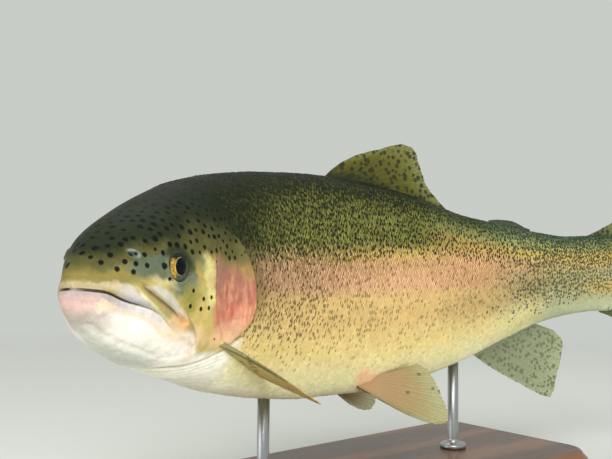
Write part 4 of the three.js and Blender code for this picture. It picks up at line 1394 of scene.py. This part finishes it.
# ------------------------------------------------------------------ stand
def wood_finish():
    """Dark walnut with long rings and open pores."""
    paint = Finish("walnut")
    x, y, z = paint.parts(paint.place())
    stretched = paint.vector(x * 4.0, y * 26.0, z * 26.0)
    warp = paint.noise(stretched, 1.6, 4.0)
    rings = (y * 120.0 + warp * 9.0 + x * 5.0).sine()
    pores = paint.noise(paint.vector(x * 60.0, y * 900.0, z * 900.0), 1.0, 2.0)
    colour = paint.mix(rings.ease(-1.0, 1.0), linear(74, 47, 30), linear(112, 74, 46))
    colour = paint.mix(pores.ease(0.62, 0.74) * 0.7, colour, linear(40, 25, 16))
    return paint.finish(Base_Color=colour, Roughness=0.34 + pores * 0.18,
                        Normal=paint.bump(pores + rings * 0.15, 0.00025, 0.35),
                        Coat_Weight=0.35, Coat_Roughness=0.2)


def steel_finish():
    """Steel brushed round the rod."""
    paint = Finish("brushed_steel")
    x, y, z = paint.parts(paint.place())
    brush = paint.noise(paint.vector(x * 300.0, y * 300.0, z * 6000.0), 1.0, 2.0)
    colour = paint.mix(brush, linear(150, 153, 156), linear(196, 198, 200))
    return paint.finish(Base_Color=colour, Roughness=0.24 + brush * 0.16, Metallic=1.0,
                        Normal=paint.bump(brush, 0.0001, 0.3))


BOARD_EDGE = ((-0.0025, 0), (0, 0.0012), (0, 0.0062), (-0.0016, 0.0074), (-0.0022, 0.0090),
              (-0.0044, 0.0108), (-0.0062, 0.0136), (-0.0078, 0.0152), (-0.0104, 0.0160))
BOARD_CORNER = 0.026             # its radius, in metres as the rest of the stand
CORNER_STEPS = 12
ROD_FOOT = ((0, 0), (0.0106, 0), (0.011, 0.0005), (0.011, 0.0026), (0.0103, 0.0036),
            (0.0068, 0.0042), (0.0056, 0.0050), (0.0047, 0.0064), (0.0045, 0.0080))
ROD_RADIUS = 0.0045
ROD_IN_BELLY = 0.004


def make_base():
    """The board: a bead, a cove and a rounded top edge run round its corners."""
    low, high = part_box("stand_base")
    centre = (low + high) / 2
    size = high - low
    points = []
    for inset, up in BOARD_EDGE:
        radius = BOARD_CORNER + inset
        for cx, cy, start in ((1, -1, -90), (1, 1, 0), (-1, 1, 90), (-1, -1, 180)):
            x = centre.x + cx * (size.x / 2 - BOARD_CORNER)
            y = centre.y + cy * (size.y / 2 - BOARD_CORNER)
            for k in range(CORNER_STEPS + 1):
                angle = math.radians(start + 90 * k / CORNER_STEPS)
                points.append((x + radius * math.cos(angle), y + radius * math.sin(angle),
                               low.z + up * size.z / BOARD_EDGE[-1][1]))
    at = np.arange(len(points)).reshape(len(BOARD_EDGE), -1)
    faces = bands(at).tolist() + [at[0].tolist(), at[-1].tolist()]
    base = mesh_object("stand_board", points, faces, smooth=False)
    fix_normals(base)
    base.data.materials.append(wood_finish())
    bevel = base.modifiers.new("soft edges", "BEVEL")
    bevel.width = 0.0004
    bevel.segments = 2
    bevel.limit_method = "ANGLE"
    return evaluated(base, "stand_board_finished")


def make_rod(node, steel):
    """A turned rod with a stepped foot, up into the fish's belly."""
    low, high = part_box(node)
    length = high.z + ROD_IN_BELLY - low.z
    points, faces = turned((*ROD_FOOT, (ROD_RADIUS, length), (0, length)), 40)
    points += ((low.x + high.x) / 2, (low.y + high.y) / 2, low.z)
    rod = mesh_object(f"{node}_turned", points, faces)
    fix_normals(rod)
    rod.data.materials.append(steel)
    return rod


# ------------------------------------------------------------------ stage
CAMERA = {"place": (-455.3, -437.7, 172.1), "azimuth": 39.8, "pitch": 0.043, "roll": 0.008,
          "lens": 45.69}
FLOOR_REACH = 1.7
LAMPS = (("key", (-0.9, -0.9, 1.5), 1.3, 20), ("fill", (-1.5, 0.4, 0.6), 1.2, 7),
         ("top", (0.3, 0.3, 1.7), 1.5, 5), ("low", (-0.3, -2.3, 0.5), 1.0, 35))
LIT_PLACE = (0, 0, 0.15)         # what the lamps point at


def make_camera():
    """Azimuth runs from +Y towards +X, pitch is upwards and roll is clockwise."""
    a, p, r = math.radians(CAMERA["azimuth"]), CAMERA["pitch"], CAMERA["roll"]
    ahead = Vector((math.sin(a) * math.cos(p), math.cos(a) * math.cos(p), math.sin(p)))
    level = Vector((math.cos(a), -math.sin(a), 0))
    upright = level.cross(ahead)
    right = level * math.cos(r) + upright * math.sin(r)
    up = upright * math.cos(r) - level * math.sin(r)
    data = bpy.data.cameras.new("camera")
    data.sensor_width = 36
    data.sensor_fit = "HORIZONTAL"
    data.lens = CAMERA["lens"]
    data.clip_start = 0.02
    data.clip_end = 60
    camera = bpy.data.objects.new("camera", data)
    turned = Matrix((right, up, -ahead)).transposed().to_4x4()
    camera.matrix_world = Matrix.Translation(Vector(CAMERA["place"]) * MM) @ turned
    bpy.context.scene.collection.objects.link(camera)
    bpy.context.scene.camera = camera


def make_floor():
    """A plain pale floor that fades into the studio's air, so that no horizon shows."""
    rings = 5
    angle = np.linspace(0, 2 * math.pi, 96, endpoint=False)
    radius = FLOOR_REACH * np.arange(1, rings + 1)[:, None] / rings
    points = np.stack([radius * np.cos(angle), radius * np.sin(angle), 0 * radius * angle], -1)
    at = 1 + np.arange(radius.size * angle.size).reshape(rings, -1)
    faces = bands(at)[:, ::-1].tolist() + [face[::-1] for face in fan(0, at[0])]
    floor = mesh_object("studio_floor", [(0, 0, 0), *points.reshape(-1, 3)], faces)
    paint = Finish("studio_floor")
    x, y, _ = paint.parts(paint.place())
    away = (x * x + y * y).maths("SQRT", x * x + y * y)
    floor.data.materials.append(paint.finish(Base_Color=linear(204, 206, 201), Roughness=0.85,
                                             Alpha=away.ease(FLOOR_REACH * 0.96,
                                                             FLOOR_REACH * 0.22)))


def make_lights():
    world = bpy.data.worlds.new("studio_air")
    world.use_nodes = True
    air = world.node_tree.nodes["Background"]
    air.inputs["Color"].default_value = (*linear(224, 228, 222), 1)
    air.inputs["Strength"].default_value = 0.78
    bpy.context.scene.world = world
    for name, place, size, power in LAMPS:
        data = bpy.data.lights.new(name, "AREA")
        data.size = size
        data.energy = power
        lamp = bpy.data.objects.new(name, data)
        lamp.visible_glossy = name != "low"
        lamp.location = place
        aim = Vector(LIT_PLACE) - Vector(place)
        lamp.rotation_euler = aim.to_track_quat("-Z", "Y").to_euler()
        bpy.context.scene.collection.objects.link(lamp)
    bpy.context.scene.view_settings.view_transform = "Standard"


# ------------------------------------------------------------------ the whole model
def dress(piece, slot, *nodes):
    """Fixes a piece to the model, in place of its nodes. Its slot is not used."""
    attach(piece, "root")
    if nodes:
        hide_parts(*nodes)


FLESH = ("head", "lower_jaw", "throat", "upper_jaw_left", "upper_jaw_right", "gill_cover_left",
         "gill_cover_right", "trunk", "tail_stem")
FIN_SLOTS = {"pectoral": "fin_ochre", "pelvic": "fin_ochre"}

make_camera()
make_lights()
make_floor()
dress(make_skin(), "skin_flank", *FLESH)
for coat in make_coat():
    dress(coat, "skin_flank")
glass = eye_finish()
for side in SIDES:
    dress(make_eye(side, glass), "eye", f"eye_{side}")
for node, fin in make_fins().items():
    dress(fin, FIN_SLOTS.get(node.split("_")[0], "fin_olive"), node)
dress(make_base(), "stand_wood", "stand_base")
steel = steel_finish()
for node in ("stand_rod_front", "stand_rod_rear"):
    dress(make_rod(node, steel), "stand_steel", node)
